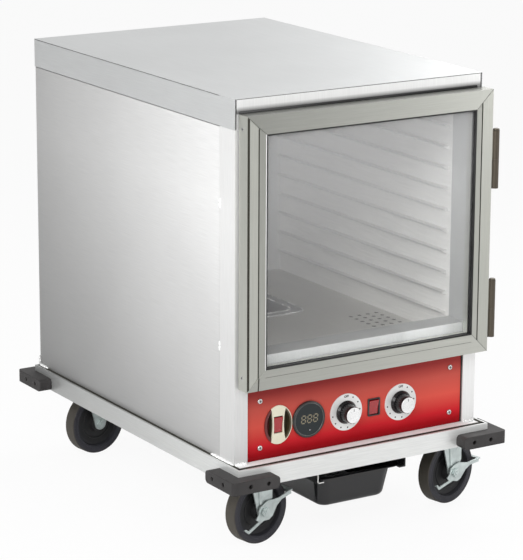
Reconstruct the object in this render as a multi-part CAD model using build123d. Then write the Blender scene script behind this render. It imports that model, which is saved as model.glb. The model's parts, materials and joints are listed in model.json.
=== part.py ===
from build123d import *
import os
from math import cos, radians, sin

# A heated holding cabinet on four swivel casters, in millimetres.
# The sizes are laid out from the floor under the middle of the base. X runs right, Y back, Z up.
# Before writing, the origin moves under the middle of the whole outline, casters included.
# Every size here can be changed by itself. Places further down are worked out from these.

# General clearances and sheet thickness
sheet = 1.5
running_gap = 0.05
touch_gap = 0.3
seam_gap = 0.6

# Casters: a 5 inch wheel in a swivel fork on a bolted plate
wheel_radius = 63.5
wheel_width = 26
wheel_web = 12
wheel_rim = 17
wheel_shoulder = 1.5
wheel_draft = 3
hub_radius = 17
hub_draft = 2
hub_length = 34
axle_radius = 6
axle_head_radius = 9
axle_head = 5
caster_height = 154
caster_trail = 32
caster_inset_x = 61
caster_inset_y = 84
caster_plate_length = 95
caster_plate_width = 65
caster_plate_thickness = 4
caster_bolt_spacing_x = 75
caster_bolt_spacing_y = 45
caster_bolt_radius = 4
caster_bolt_head = 5
caster_bolt_head_radius = 7.2
caster_plate_corner = 8
fork_thickness = 3
fork_gap = 0.5
fork_boss = 13
fork_race_height = 10
fork_crown_corner = 6
fork_front = 22
fork_back = 33
fork_knee = 22
fork_rib = 2
fork_rib_width = 6
fork_rib_top = 11
fork_rib_low = 7
fork_rib_end = 15
race_radius = 24
race_chamfer = 1.5
king_pin_radius = 6
caster_turn = {"front_left": 9, "front_right": 12, "rear_left": 8, "rear_right": 20}

# Side brake levers of the front casters, turned about the axle
# The outlines are points ahead of the axle and above it.
lever_thickness = 2.5
lever_boss = 15
lever_outline = [
    (-23, -6), (-11, 4), (0, 15.5), (12, 17.5), (24, 14), (38, 11), (60, 12), (60, 4.5), (43, 4.5),
    (30, -1.5), (15.5, -15.5), (6, -19), (-6, -15.5), (-17.5, -12.5)
]
finger_outline = [(-8, -9), (-17, -12), (-44.5, -17.5), (-50, -12), (-53, -14), (-46, -23.5), (-6, -15)]
lever_tab = 4
lever_tab_height = 3
lever_arm_overlap = 1
pedal_clearance = 2
pedal_length = 7
pedal_width = 30
pedal_low = 4.5
pedal_lift = 12
lever_rest = {"front_left": 15, "front_right": 2}

# Base frame: four mitred channel rails with a deck laid inside them
base_width = 552
base_depth = 790
rail_height = 36.5
rail_wall = 4
rail_flange = 34
rail_foot = 7
flange_thickness = 4
groove_depth = 5
groove_width = 6.5
channel_height = 14
channel_width = 110
channel_wall = 3
channel_end = 6
deck_rise = -0.5
deck_thickness = 3

# Corner bumpers
bumper_leg = 98
bumper_thickness = 26
bumper_height = 24
bumper_offset = 0.5
bumper_end_radius = 8
bumper_corner_radius = 8
bumper_hole_radius = 4
bumper_hole_first = 36.5
bumper_hole_step = 38
bumper_screw_radius = 2.2
bumper_seat = 8
bumper_screw_head = 3
bumper_screw_head_gap = 0.4
screw_gap = 0.1

# Body shell
body_height = 667.5
body_setback = 31
body_back_gap = 0.5
cap_overhang = 1
cap_skirt = 55
corner_seam = 3
post_width = 27.5
post_depth = 51
post_wall = 2
sill_height = 42
sill_rise = 39
door_overlap = 12
lower_bay = 158.5

# Warm compartment
side_insulation = 24.5
back_insulation = 50
back_service_gap = 53.5
ledge_first = 45
ledge_pitch = 40
ledge_count = 10
ledge_reach = 12
ledge_thickness = 4
vent_columns = 4
vent_rows = 5
vent_pitch = 20
vent_radius = 4.5
vent_side = 53
vent_front = 167

# Door
door_thickness = 28
door_gap = 4
door_left_inset = 5.5
door_right_reach = 3.5
door_top_drop = 26.5
stile_width = 38
top_rail_width = 34
bottom_rail_width = 37
door_wall = 2
door_lip = 3
door_groove_start = 0.6
door_groove_end = 0.67
door_groove_depth = 1.8
edge_groove_start = 1.2
edge_groove_width = 3.6
edge_groove_depth = 4
pane_thickness = 5
pane_recess = 7
pane_engagement = 8
glazing_leg = 1.5
glazing_bead = 3
seal_width = 14
seal_inset = 4
seal_rise = 2

# Hinges: two lift-off pairs at the right edge
hinge_height = 109
hinge_top_drop = 132
hinge_bottom_rise = 81
barrel_radius = 6.4
barrel_offset_x = 9.4
barrel_offset_y = 2
hinge_pin_radius = 3.5
hinge_head_radius = 6
hinge_head_height = 3
leaf_thickness = 2.5
leaf_width = 26
body_leaf_width = 40
leaf_clearance = 1.2
leaf_screw_radius = 3
leaf_screw_height = 1.5
leaf_screw_inset = 12

# Control panel and its controls
panel_thickness = 2
panel_recess = 4
panel_edge_gap = 0.5
panel_screw_side = 28
panel_screw_low = 23.5
panel_screw_high = 111.5
panel_screw_radius = 5
panel_bracket_width = 36
panel_bracket_thickness = 3
panel_bracket_end = 5
control_height = 61.5
guard_x = -171
guard_width = 58.6
guard_height = 73
guard_rise = 2
guard_depth = 13
guard_lip = 3
guard_wall = 1.5
guard_end_width = 34
guard_waist_width = 23
power_rocker_width = 18
power_rocker_height = 29
mode_x = 38
mode_bezel_width = 27
mode_bezel_height = 34
mode_bezel_rise = 2
mode_bezel_flange = 1.8
mode_bezel_corner = 2
mode_cutout_gap = 0.3
mode_body_depth = 22
mode_rocker_width = 20
mode_rocker_height = 27
rocker_depth = 8
rocker_tilt = 9
rocker_pivot_radius = 2
thermometer_x = -106
thermometer_radius = 34.5
thermometer_rise = 5
thermometer_rim = 3.2
thermometer_well = 1.5
thermometer_body_radius = 29
thermometer_body_depth = 35
lens_thickness = 2
dial_x = {"heat": -23.6, "humidity": 97.8}
dial_plate_radius = 35
dial_plate_thickness = 1.5
knob_skirt_radius = 22
knob_skirt_height = 6
knob_top_radius = 15.5
knob_grip_radius = 17.5
knob_height = 24
knob_flutes = 24
knob_flute_radius = 1.3
knob_gap = 0.4
control_shaft_radius = 3
thermostat_side = 42
thermostat_depth = 30
bushing_radius = 5
bushing_length = 9

# Pans
pan_length = 325
pan_width = 190
pan_depth = 62
pan_flange = 12
pan_wall = 1.5
pan_taper = 10
pan_corner = 24
pan_bottom_round = 12
pan_hang = 19.5
pan_front = 18
runner_lip = 12
runner_wall = 2
runner_side_gap = 1
runner_front = 4
water_pan_rear_gap = 48
water_pan_length = 265
water_pan_width = 212
water_pan_flange = 20
water_pan_gap = 2

# Heating and air circulation in the lower bay
fan_radius = 52
fan_height = 26
fan_drop = 14
fan_hub_radius = 12
fan_blades = 24
fan_blade_thickness = 1.5
fan_blade_depth = 10
fan_blade_inset = 0.7
motor_radius = 38
motor_height = 60
motor_shaft_radius = 3
motor_plate = 3
motor_plate_side = 96
motor_leg = 10
element_radius = 4
element_span = 56
element_length = 150
element_reach = 20
element_places = {"air": (-150, -260, 45), "water": (0, 10, 78)}
element_plate_thickness = 3
element_plate_side = 90
terminal_length = 80
terminal_width = 26
terminal_height = 22
terminal_x = -120
terminal_y = 250
inlet_width = 50
inlet_height = 40
inlet_plate = 3
inlet_depth = 28
inlet_x = -170
inlet_rise = 45
inlet_recess_width = 24
inlet_recess_height = 16
inlet_pin_width = 2
inlet_pin_height = 6
inlet_pin_pitch = 7

# Places worked out from the sizes
base_half_x = base_width / 2
base_half_y = base_depth / 2
flange_under = caster_height + channel_height
flange_top = flange_under + flange_thickness
rail_top = flange_top + groove_depth
rail_bottom = rail_top - rail_height
deck_top = rail_top + deck_rise
deck_half_x = base_half_x - rail_wall - groove_width
deck_front = -base_half_y + rail_wall + groove_width

half_body = deck_half_x
body_top = deck_top + body_height
body_front = -base_half_y + body_setback
body_rear = base_half_y - rail_wall - body_back_gap
skirt_bottom = body_top - cap_skirt
cap_under = body_top - sheet
post_rear = body_front + post_depth
post_inner = half_body - post_width

floor_top = deck_top + lower_bay
sill_top = floor_top + sill_rise
sill_bottom = sill_top - sill_height
half_cavity = half_body - 2 * sheet - side_insulation
cavity_rear = body_rear - back_service_gap - back_insulation - 2 * sheet

door_left = -half_body + door_left_inset
door_right = half_body + door_right_reach
door_top = body_top - door_top_drop
door_bottom = sill_bottom - door_overlap
door_rear = body_front - door_gap
door_front = door_rear - door_thickness
window_left = door_left + stile_width
window_right = door_right - stile_width
window_top = door_top - top_rail_width
window_bottom = door_bottom + bottom_rail_width
pane_front = door_front - door_lip + pane_recess
pane_rear = pane_front + pane_thickness

barrel_x = door_right + barrel_offset_x
barrel_y = door_front + barrel_offset_y
hinge_centres = [door_bottom + hinge_bottom_rise, door_top - hinge_top_drop]

panel_front = body_front + panel_recess
panel_rear = panel_front + panel_thickness
panel_bottom = deck_top + panel_edge_gap
panel_top = sill_bottom - panel_edge_gap
control_z = deck_top + control_height

os.makedirs("parts", exist_ok=True)
nodes = {}


def block(x0, x1, y0, y1, z0, z1):
    """A box between two corners."""
    centre = Pos((x0 + x1) / 2, (y0 + y1) / 2, (z0 + z1) / 2)
    return centre * Box(x1 - x0, y1 - y0, z1 - z0)


def bar(points, run):
    """A closed outline of points in space, carried straight along run."""
    outline = Face(Wire.make_polygon([Vector(*p) for p in points], close=True))
    way = Vector(*run)
    return extrude(outline, amount=way.length, dir=way)


def rod(radius, length, x=0, y=0, z=0):
    """An upright cylinder that starts at z."""
    return Pos(x, y, z + length / 2) * Cylinder(radius, length)


def rod_y(radius, length, x, y, z):
    """A cylinder that runs to the back from y."""
    return Pos(x, y + length / 2, z) * Rot(90, 0, 0) * Cylinder(radius, length)


def rod_x(radius, length, x, y, z):
    """A cylinder that runs to the right from x."""
    return Pos(x + length / 2, y, z) * Rot(0, 90, 0) * Cylinder(radius, length)


def solids_of(shape):
    """The separate solids of a shape or of a list of shapes."""
    if isinstance(shape, (list, tuple)):
        return [one for part in shape for one in solids_of(part)]
    return list(shape.solids())


def save(node, *shapes):
    """Keeps one node's separate solids until all of them are written."""
    nodes[node] = solids_of(list(shapes))


def write_nodes():
    """Sets the origin under the middle of the whole outline and writes every node."""
    outline = Compound([solid for solids in nodes.values() for solid in solids]).bounding_box()
    middle = (outline.min.X + outline.max.X) / 2
    depth_middle = (outline.min.Y + outline.max.Y) / 2
    shift = Pos(-round(middle, 2), -round(depth_middle, 2), 0)
    for node, solids in nodes.items():
        export_step(Compound([shift * solid for solid in solids]), f"parts/{node}.step")
    print("outline middle", round(middle, 2), round(depth_middle, 2), round(outline.min.Z, 3))


# Casters
caster_x = base_half_x - caster_inset_x
caster_y = base_half_y - caster_inset_y
caster_places = {
    "front_left": (-caster_x, -caster_y),
    "front_right": (caster_x, -caster_y),
    "rear_left": (-caster_x, caster_y),
    "rear_right": (caster_x, caster_y),
}
plate_under = caster_height - caster_plate_thickness
leg_inner = hub_length / 2 + fork_gap
leg_outer = leg_inner + fork_thickness
lever_inner = leg_outer + fork_rib + touch_gap
lever_outer = lever_inner + lever_thickness
crown_top = plate_under - touch_gap - fork_race_height
crown_under = crown_top - fork_thickness


def seat(shape, corner):
    """Turns a caster piece, made rolling along X, and sets it under its corner."""
    x, y = caster_places[corner]
    return Pos(x, y, 0) * Rot(0, 0, caster_turn[corner]) * shape


def wheel():
    """The wheel's section turned about the axle: tread, sunk web and hub."""
    half_tread = wheel_width / 2
    web = wheel_web / 2
    half_hub = hub_length / 2
    bore = axle_radius + running_gap
    rim_inner = wheel_radius - wheel_rim
    section = Polygon(
        (bore, -half_hub),
        (hub_radius, -half_hub),
        (hub_radius + hub_draft, -web),
        (rim_inner, -web),
        (rim_inner + wheel_draft, -half_tread),
        (wheel_radius, -half_tread),
        (wheel_radius, half_tread),
        (rim_inner + wheel_draft, half_tread),
        (rim_inner, web),
        (hub_radius + hub_draft, web),
        (hub_radius, half_hub),
        (bore, half_hub),
        align=None,
    )
    tread_corners = section.vertices().filter_by(lambda v: v.X > wheel_radius - 0.01)
    section = fillet(tread_corners, wheel_shoulder)
    turned = revolve(section, axis=Axis.Y)
    return Pos(caster_trail, 0, wheel_radius) * turned


def fork_leg(side):
    """One fork leg: a plate that tapers from the crown to the axle, with a pressed rib."""
    plane_y = side * leg_inner
    axle_x = caster_trail
    outline = [
        (axle_x + fork_boss, wheel_radius),
        (axle_x + fork_front, wheel_radius + fork_knee),
        (axle_x + fork_front, crown_under),
        (axle_x - fork_back, crown_under),
        (axle_x - fork_boss, wheel_radius),
    ]
    leg = bar([(x, plane_y, z) for x, z in outline], (0, side * fork_thickness, 0))
    boss_y = min(plane_y, plane_y + side * fork_thickness)
    leg += rod_y(fork_boss, fork_thickness, axle_x, boss_y, wheel_radius)
    rib_y = plane_y + side * fork_thickness
    half_rib = fork_rib_width / 2
    rib = [
        (axle_x - fork_rib_top - half_rib, rib_y, crown_under),
        (axle_x - fork_rib_top + half_rib, rib_y, crown_under),
        (axle_x - fork_rib_low + half_rib, rib_y, wheel_radius + fork_rib_end),
        (axle_x - fork_rib_low - half_rib, rib_y, wheel_radius + fork_rib_end),
    ]
    leg += bar(rib, (0, side * fork_rib, 0))
    bore = axle_radius + screw_gap
    return leg - rod_y(bore, 4 * leg_outer, axle_x, -2 * leg_outer, wheel_radius)


def fork():
    """Crown, race and king pin above two legs."""
    crown = block(
        -race_radius, caster_trail + fork_front, -leg_outer, leg_outer, crown_under, crown_top
    )
    crown = fillet(crown.edges().filter_by(Axis.Z), fork_crown_corner)
    race_height = plate_under - touch_gap - crown_top
    race = rod(race_radius, race_height, z=crown_top)
    race = chamfer(race.edges().sort_by(Axis.Z)[-1], race_chamfer)
    pin_top = caster_height - touch_gap
    pin = rod(king_pin_radius, pin_top - crown_top, z=crown_top)
    return crown + race + pin + fork_leg(1) + fork_leg(-1)


def axle(has_lever):
    """Axle bolt: a hexagon head at the back and a nut at the front."""
    front_reach = lever_outer + touch_gap if has_lever else leg_outer
    length = front_reach + leg_outer
    shank = rod_y(axle_radius, length, caster_trail, -front_reach, wheel_radius)
    hexagon = extrude(RegularPolygon(axle_head_radius, 6), axle_head)
    head = Pos(caster_trail, leg_outer, wheel_radius) * Rot(-90, 0, 0) * hexagon
    nut = Pos(caster_trail, -front_reach, wheel_radius) * Rot(90, 0, 0) * hexagon
    stub = rod_y(axle_radius * 0.7, axle_head + 2, caster_trail, -front_reach - axle_head - 2, wheel_radius)
    return shank + head + nut + stub


def brake_lever(corner):
    """Stamped lever on the axle: a pedal over the tread at one end, a claw finger at the other."""
    face = lever_outer

    def stamped(points):
        return bar([(x, -face, z) for x, z in points], (0, lever_thickness, 0))

    reach = wheel_radius + pedal_clearance
    arm_tip = max(lever_outline)[0]
    body = rod_y(lever_boss, lever_thickness, 0, -face, 0) + stamped(lever_outline)
    body += stamped(finger_outline)
    arm_start = arm_tip - lever_arm_overlap
    body += block(arm_start, reach + lever_thickness, -face, -face + lever_thickness, pedal_low, pedal_lift)
    pedal = block(reach, reach + lever_thickness, -face, -face + pedal_width, pedal_low, pedal_lift)
    top = block(
        reach, reach + pedal_length, -face, -face + pedal_width, pedal_lift - lever_thickness, pedal_lift
    )
    tip_x, tip_z = min(finger_outline)
    tab_x = tip_x + lever_thickness
    tab_low = tip_z - lever_tab_height
    tab = block(tab_x, tab_x + lever_thickness, -face, -lever_inner + lever_tab, tab_low, tip_z)
    hole = rod_y(axle_radius + running_gap, 4 * face, 0, -2 * face, 0)
    placed = Rot(0, -lever_rest[corner], 0) * (body + pedal + top + tab - hole)
    return Pos(caster_trail, 0, wheel_radius) * placed


def caster_plate(corner):
    """Fixed plate with four bolt holes and the king pin's bore."""
    x, y = caster_places[corner]
    plate = Pos(x, y, 0) * block(
        -caster_plate_length / 2,
        caster_plate_length / 2,
        -caster_plate_width / 2,
        caster_plate_width / 2,
        plate_under,
        caster_height,
    )
    plate = fillet(plate.edges().filter_by(Axis.Z), caster_plate_corner)
    plate -= rod(
        king_pin_radius + running_gap, 3 * caster_plate_thickness, x, y, plate_under - caster_plate_thickness
    )
    for bx, by in bolt_places(corner):
        hole = caster_bolt_radius + screw_gap
        plate -= rod(hole, 3 * caster_plate_thickness, bx, by, plate_under - caster_plate_thickness)
    return plate


def bolt_places(corner):
    """The four bolts of one caster plate."""
    x, y = caster_places[corner]
    half_x = caster_bolt_spacing_x / 2
    half_y = caster_bolt_spacing_y / 2
    return [(x + sx * half_x, y + sy * half_y) for sx in (-1, 1) for sy in (-1, 1)]


def caster_bolts():
    """Hexagon bolts that hold the plates to the cross channels."""
    bolts = []
    for corner in caster_places:
        for bx, by in bolt_places(corner):
            shank = rod(caster_bolt_radius, channel_wall + caster_plate_thickness, bx, by, plate_under)
            head_shape = extrude(RegularPolygon(caster_bolt_head_radius, 6), caster_bolt_head)
            head = Pos(bx, by, plate_under - caster_bolt_head) * head_shape
            bolts.append(shank + head)
    return bolts


# Base frame
def rail_section(u_sign, along_x):
    """The channel's outline, from the outer face inwards, at the start of a rail."""
    profile = [
        (0, rail_bottom),
        (rail_foot, rail_bottom),
        (rail_foot, rail_bottom + rail_wall),
        (rail_wall, rail_bottom + rail_wall),
        (rail_wall, flange_under),
        (rail_flange, flange_under),
        (rail_flange, flange_top),
        (rail_wall, flange_top),
        (rail_wall, rail_top),
        (0, rail_top),
    ]
    if along_x:
        return [(-base_half_x, u_sign * (base_half_y - u), z) for u, z in profile]
    return [(u_sign * (base_half_x - u), -base_half_y, z) for u, z in profile]


def base_rails():
    """Four rails, cut at the corners on the diagonal."""
    rails = []
    tall = rail_height * 2
    low = rail_bottom - rail_height / 2
    reach = min(base_half_x, base_half_y)
    for sign in (-1, 1):
        long_bar = bar(rail_section(sign, True), (base_width, 0, 0))
        corner_cut = [
            (-base_half_x, sign * base_half_y, low),
            (base_half_x, sign * base_half_y, low),
            (base_half_x - reach, sign * (base_half_y - reach), low),
            (-base_half_x + reach, sign * (base_half_y - reach), low),
        ]
        if base_half_x <= base_half_y:
            corner_cut = corner_cut[:3]
        rails.append(long_bar & bar(corner_cut, (0, 0, tall)))
    for sign in (-1, 1):
        long_bar = bar(rail_section(sign, False), (0, base_depth, 0))
        corner_cut = [
            (sign * base_half_x, -base_half_y, low),
            (sign * base_half_x, base_half_y, low),
            (sign * (base_half_x - reach), base_half_y - reach, low),
            (sign * (base_half_x - reach), -base_half_y + reach, low),
        ]
        if base_half_y < base_half_x:
            corner_cut = corner_cut[:3]
        rails.append(long_bar & bar(corner_cut, (0, 0, tall)))
    bored = []
    for rail in rails:
        for x, y, along_x in bumper_screw_places():
            hole = bumper_screw_radius + screw_gap
            if along_x:
                rail -= rod_x(hole, 4 * rail_wall, x - 2 * rail_wall, y, bumper_mid)
            else:
                rail -= rod_y(hole, 4 * rail_wall, x, y - 2 * rail_wall, bumper_mid)
        bored.append(rail)
    return bored


def base_deck():
    """Deck plate with its edge turned down on to the rail flanges, and holes for the casters' channels."""
    under = deck_top - deck_thickness
    plate = block(-deck_half_x, deck_half_x, deck_front, body_rear, under, deck_top)
    rim = block(-deck_half_x, deck_half_x, deck_front, body_rear, flange_top, under)
    rim -= block(
        -deck_half_x + deck_thickness,
        deck_half_x - deck_thickness,
        deck_front + deck_thickness,
        body_rear - deck_thickness,
        flange_top - deck_thickness,
        deck_top,
    )
    return plate + rim


def caster_channels():
    """Two box channels across the base that carry the caster plates."""
    channels = []
    half_x = base_half_x - rail_wall - channel_end
    for sign in (-1, 1):
        y = sign * caster_y
        outer = block(
            -half_x, half_x, y - channel_width / 2, y + channel_width / 2, caster_height, flange_under
        )
        inner = block(
            -half_x - 1,
            half_x + 1,
            y - channel_width / 2 + channel_wall,
            y + channel_width / 2 - channel_wall,
            caster_height + channel_wall,
            flange_under - channel_wall,
        )
        channel = outer - inner
        for corner in caster_places:
            for bx, by in bolt_places(corner):
                channel -= rod(
                    caster_bolt_radius + screw_gap,
                    2 * channel_wall,
                    bx,
                    by,
                    caster_height - channel_wall / 2,
                )
        channels.append(channel)
    return channels


# Corner bumpers
bumper_low = rail_bottom + bumper_offset
bumper_mid = bumper_low + bumper_height / 2
bumper_half_x = base_half_x + bumper_thickness
bumper_half_y = base_half_y + bumper_thickness
corner_signs = [(sx, sy) for sx in (-1, 1) for sy in (-1, 1)]


def bumper_screw_places():
    """Each screw's point on the rail's outer face, and True where it runs along X."""
    places = []
    for sx, sy in corner_signs:
        for k in range(2):
            back = bumper_hole_first + k * bumper_hole_step
            places.append((sx * base_half_x, sy * (bumper_half_y - back), True))
            places.append((sx * (bumper_half_x - back), sy * base_half_y, False))
    return places


def bumper(sx, sy):
    """Moulded corner piece with two legs, rounded at their ends, and deep screw holes."""
    x_leg = block(0, bumper_leg, 0, bumper_thickness, 0, bumper_height)
    x_end = x_leg.edges().filter_by(Axis.Y).group_by(Axis.X)[-1]
    x_leg = fillet(x_end, bumper_end_radius)
    y_leg = block(0, bumper_thickness, 0, bumper_leg, 0, bumper_height)
    y_end = y_leg.edges().filter_by(Axis.X).group_by(Axis.Y)[-1]
    y_leg = fillet(y_end, bumper_end_radius)
    shape = x_leg + y_leg
    corner = shape.edges().filter_by(Axis.Z).sort_by(lambda e: e.center().X + e.center().Y)[0]
    shape = fillet(corner, bumper_corner_radius)
    rest = bumper_thickness - bumper_seat
    for k in range(2):
        back = bumper_hole_first + k * bumper_hole_step
        middle = bumper_height / 2
        shape -= rod_y(bumper_hole_radius, rest, back, 0, middle)
        shape -= rod_y(bumper_screw_radius + screw_gap, 2 * bumper_thickness, back, 0, middle)
        shape -= rod_x(bumper_hole_radius, rest, 0, back, middle)
        shape -= rod_x(bumper_screw_radius + screw_gap, 2 * bumper_thickness, 0, back, middle)
    if sx > 0:
        shape = mirror(shape, Plane.YZ)
    if sy > 0:
        shape = mirror(shape, Plane.XZ)
    return Pos(sx * bumper_half_x, sy * bumper_half_y, bumper_low) * shape


def bumper_screws():
    """Screws whose heads lie deep in the bumper holes."""
    screws = []
    length = bumper_seat + rail_wall + 1
    for x, y, along_x in bumper_screw_places():
        shank = rod(bumper_screw_radius, length, z=-length)
        cap = rod(bumper_hole_radius - bumper_screw_head_gap, bumper_screw_head)
        screw = Pos(0, 0, bumper_seat) * (shank + cap)
        if along_x:
            turn = Rot(0, 90 if x > 0 else -90, 0)
        else:
            turn = Rot(-90 if y > 0 else 90, 0, 0)
        screws.append(Pos(x, y, bumper_mid) * turn * screw)
    return screws


# Body shell
def side_panel(sign):
    """Outer side skin from the front post's seam to the back."""
    outer = sign * half_body
    inner = sign * (half_body - sheet)
    return block(
        min(outer, inner), max(outer, inner), post_rear + seam_gap, body_rear, deck_top, skirt_bottom
    )


def back_panel():
    """Rear skin between the side skins, with the inlet's cut-out."""
    edge = half_body - sheet
    panel = block(-edge, edge, body_rear - sheet, body_rear, deck_top, cap_under)
    z = deck_top + inlet_rise
    return panel - block(
        inlet_x - inlet_width / 2 + 4,
        inlet_x + inlet_width / 2 - 4,
        body_rear - 4 * sheet,
        body_rear + sheet,
        z - inlet_height / 2 + 4,
        z + inlet_height / 2 - 4,
    )


def top_cap():
    """Folded lid: top sheet with side and rear skirts. The front is open for the header."""
    half_cap = half_body + cap_overhang
    rear = body_rear + sheet
    cap = block(-half_cap, half_cap, body_front, rear, cap_under, body_top)
    for sign in (-1, 1):
        outer = sign * half_cap
        inner = sign * (half_cap - sheet)
        cap += block(min(outer, inner), max(outer, inner), body_front, rear, skirt_bottom, cap_under)
    cap += block(-half_cap, half_cap, body_rear, rear, skirt_bottom, cap_under)
    return cap


def tube(x0, x1, y0, y1, z0, z1, axis):
    """A square tube between two corners, open at its ends along axis."""
    grow = {"x": (1, 0, 0), "z": (0, 0, 1)}[axis]
    wall = [post_wall * (1 - g) - 2 * post_wall * g for g in grow]
    hollow = block(
        x0 + wall[0], x1 - wall[0], y0 + wall[1], y1 - wall[1], z0 + wall[2], z1 - wall[2]
    )
    return block(x0, x1, y0, y1, z0, z1) - hollow


def front_frame():
    """Two posts with the panel's brackets, the header over the door and the sill under it."""
    pieces = []
    for sign in (-1, 1):
        edges = sorted((sign * half_body, sign * post_inner))
        post = tube(edges[0], edges[1], body_front, post_rear, deck_top, skirt_bottom, "z")
        tips = sorted((sign * post_inner, sign * (post_inner - panel_bracket_width)))
        bracket = block(
            tips[0],
            tips[1],
            panel_rear,
            panel_rear + panel_bracket_thickness,
            panel_bottom + panel_bracket_end,
            panel_top - panel_bracket_end,
        )
        for z in panel_screw_heights():
            bracket -= rod_y(panel_screw_radius / 2 + screw_gap, 20, sign * panel_screw_x, panel_rear - 5, z)
        pieces.append(post + bracket)
    header_half = half_body + cap_overhang - sheet - corner_seam
    pieces.append(tube(-header_half, header_half, body_front, post_rear, skirt_bottom, cap_under, "x"))
    pieces.append(tube(-post_inner, post_inner, body_front, post_rear, sill_bottom, sill_top, "x"))
    return pieces


# Warm compartment
def side_liner(sign):
    """Flat inner skin of one side."""
    edges = sorted((sign * half_cavity, sign * (half_cavity + sheet)))
    return block(edges[0], edges[1], post_rear, cavity_rear + sheet, floor_top - sheet, skirt_bottom)


def pan_ledges():
    """Ledges that the food pans slide on, each a flat strip with a sloping underside."""
    strips = []
    for sign in (-1, 1):
        wall = sign * half_cavity
        tip = sign * (half_cavity - ledge_reach)
        for k in range(ledge_count):
            z = floor_top + ledge_first + ledge_pitch * k
            outline = [
                (wall, post_rear + 10, z),
                (tip, post_rear + 10, z),
                (tip, post_rear + 10, z - ledge_thickness * 0.5),
                (wall, post_rear + 10, z - ledge_thickness * 2),
            ]
            strips.append(bar(outline, (0, cavity_rear - 10 - (post_rear + 10), 0)))
    return strips


def vent_places():
    """Centres of the air holes in the floor, right and left."""
    places = []
    for sign in (-1, 1):
        middle = sign * (half_cavity - vent_side)
        for i in range(vent_columns):
            for j in range(vent_rows):
                x = middle + (i - (vent_columns - 1) / 2) * vent_pitch
                y = post_rear + vent_front + (j - (vent_rows - 1) / 2) * vent_pitch
                places.append((x, y))
    return places


water_pan_y0 = cavity_rear - water_pan_rear_gap - water_pan_length
water_pan_y1 = water_pan_y0 + water_pan_length


def floor_liner():
    """Compartment floor with the water pan's cut-out and two groups of air holes."""
    floor = block(-half_cavity, half_cavity, post_rear, cavity_rear, floor_top - sheet, floor_top)
    rest = water_pan_flange - water_pan_gap
    half_hole = water_pan_width / 2 - rest
    hole = block(
        -half_hole,
        half_hole,
        water_pan_y0 + rest,
        water_pan_y1 - rest,
        floor_top - 2 * sheet,
        floor_top + sheet,
    )
    hole = fillet(hole.edges().filter_by(Axis.Z), pan_corner)
    floor -= hole
    holes = [rod(vent_radius, 4 * sheet, x, y, floor_top - 2 * sheet) for x, y in vent_places()]
    return floor - Compound(solids_of(holes))


def back_liner():
    """Inner skin of the back."""
    return block(
        -half_cavity, half_cavity, cavity_rear, cavity_rear + sheet, floor_top - sheet, skirt_bottom
    )


def top_liner():
    """Ceiling of the warm compartment."""
    edge = half_body - sheet
    return block(-edge, edge, post_rear, cavity_rear + sheet, skirt_bottom, skirt_bottom + sheet)


def insulation():
    """Blankets in the sides, the back and the top."""
    blankets = []
    for sign in (-1, 1):
        edges = sorted((sign * (half_cavity + sheet), sign * (half_body - sheet)))
        blankets.append(block(edges[0], edges[1], post_rear, cavity_rear + sheet, floor_top, skirt_bottom))
    edge = half_body - sheet
    rear = cavity_rear + sheet + back_insulation
    blankets.append(block(-edge, edge, cavity_rear + sheet, rear, floor_top, skirt_bottom))
    blankets.append(block(-edge, edge, post_rear, cavity_rear + sheet, skirt_bottom + sheet, cap_under))
    return blankets


# Pans
def pan(width, flange_width, y0, y1, z_top):
    """Food pan: a tapered tub with a flange, hollow, with rounded corners and bottom."""
    middle = (y0 + y1) / 2
    tub_x = width - 2 * flange_width
    tub_y = (y1 - y0) - 2 * flange_width
    corner = pan_corner - 2

    def tub(shrink, z_low, rounding):
        upper = Pos(0, middle, z_top) * RectangleRounded(
            tub_x - 2 * shrink, tub_y - 2 * shrink, corner - shrink
        )
        lower_x = tub_x - 2 * shrink - 2 * pan_taper
        lower_y = tub_y - 2 * shrink - 2 * pan_taper
        lower = Pos(0, middle, z_low) * RectangleRounded(lower_x, lower_y, corner - shrink)
        shape = loft([upper, lower])
        low_edges = shape.edges().filter_by(lambda e: abs(e.center().Z - z_low) < 0.01)
        return fillet(low_edges, rounding)

    outer = tub(0, z_top - pan_depth, pan_bottom_round)
    inner = tub(pan_wall, z_top - pan_depth + pan_wall, pan_bottom_round - pan_wall)
    flange_shape = RectangleRounded(width, y1 - y0, pan_corner)
    mouth = RectangleRounded(tub_x - 2 * pan_wall, tub_y - 2 * pan_wall, corner - pan_wall)
    flange = Pos(0, middle, z_top - pan_wall) * extrude(flange_shape - mouth, pan_wall)
    return outer + flange - inner


drip_pan_top = rail_bottom - pan_hang
drip_pan_y0 = -base_half_y + pan_front
runner_lip_top = drip_pan_top - pan_wall


def drip_pan_runners():
    """Two angle runners under the base that the drip pan's flange slides on."""
    runners = []
    web_inner = pan_width / 2 + runner_side_gap
    web_outer = web_inner + runner_wall
    y0 = drip_pan_y0 - runner_front
    y1 = drip_pan_y0 + pan_length + runner_front
    lip_low = runner_lip_top - runner_wall
    for sign in (-1, 1):
        web = sorted((sign * web_inner, sign * web_outer))
        lip = sorted((sign * (web_inner - runner_lip), sign * web_outer))
        runner = block(web[0], web[1], y0, y1, lip_low, caster_height)
        runner += block(lip[0], lip[1], y0, y1, lip_low, runner_lip_top)
        hanger_top = deck_top - deck_thickness
        runner += block(web[0], web[1], y1 - 24, y1, caster_height, hanger_top)
        tab = sorted((sign * web_inner, sign * (web_outer + 16)))
        runner += block(tab[0], tab[1], y1 - 24, y1, hanger_top - runner_wall, hanger_top)
        front_tab = [-caster_y - channel_width / 2 + 8, -caster_y + channel_width / 2 - 8]
        runner += block(
            tab[0], tab[1], front_tab[0], front_tab[1], caster_height - runner_wall, caster_height
        )
        runners.append(runner)
    return runners


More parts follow.
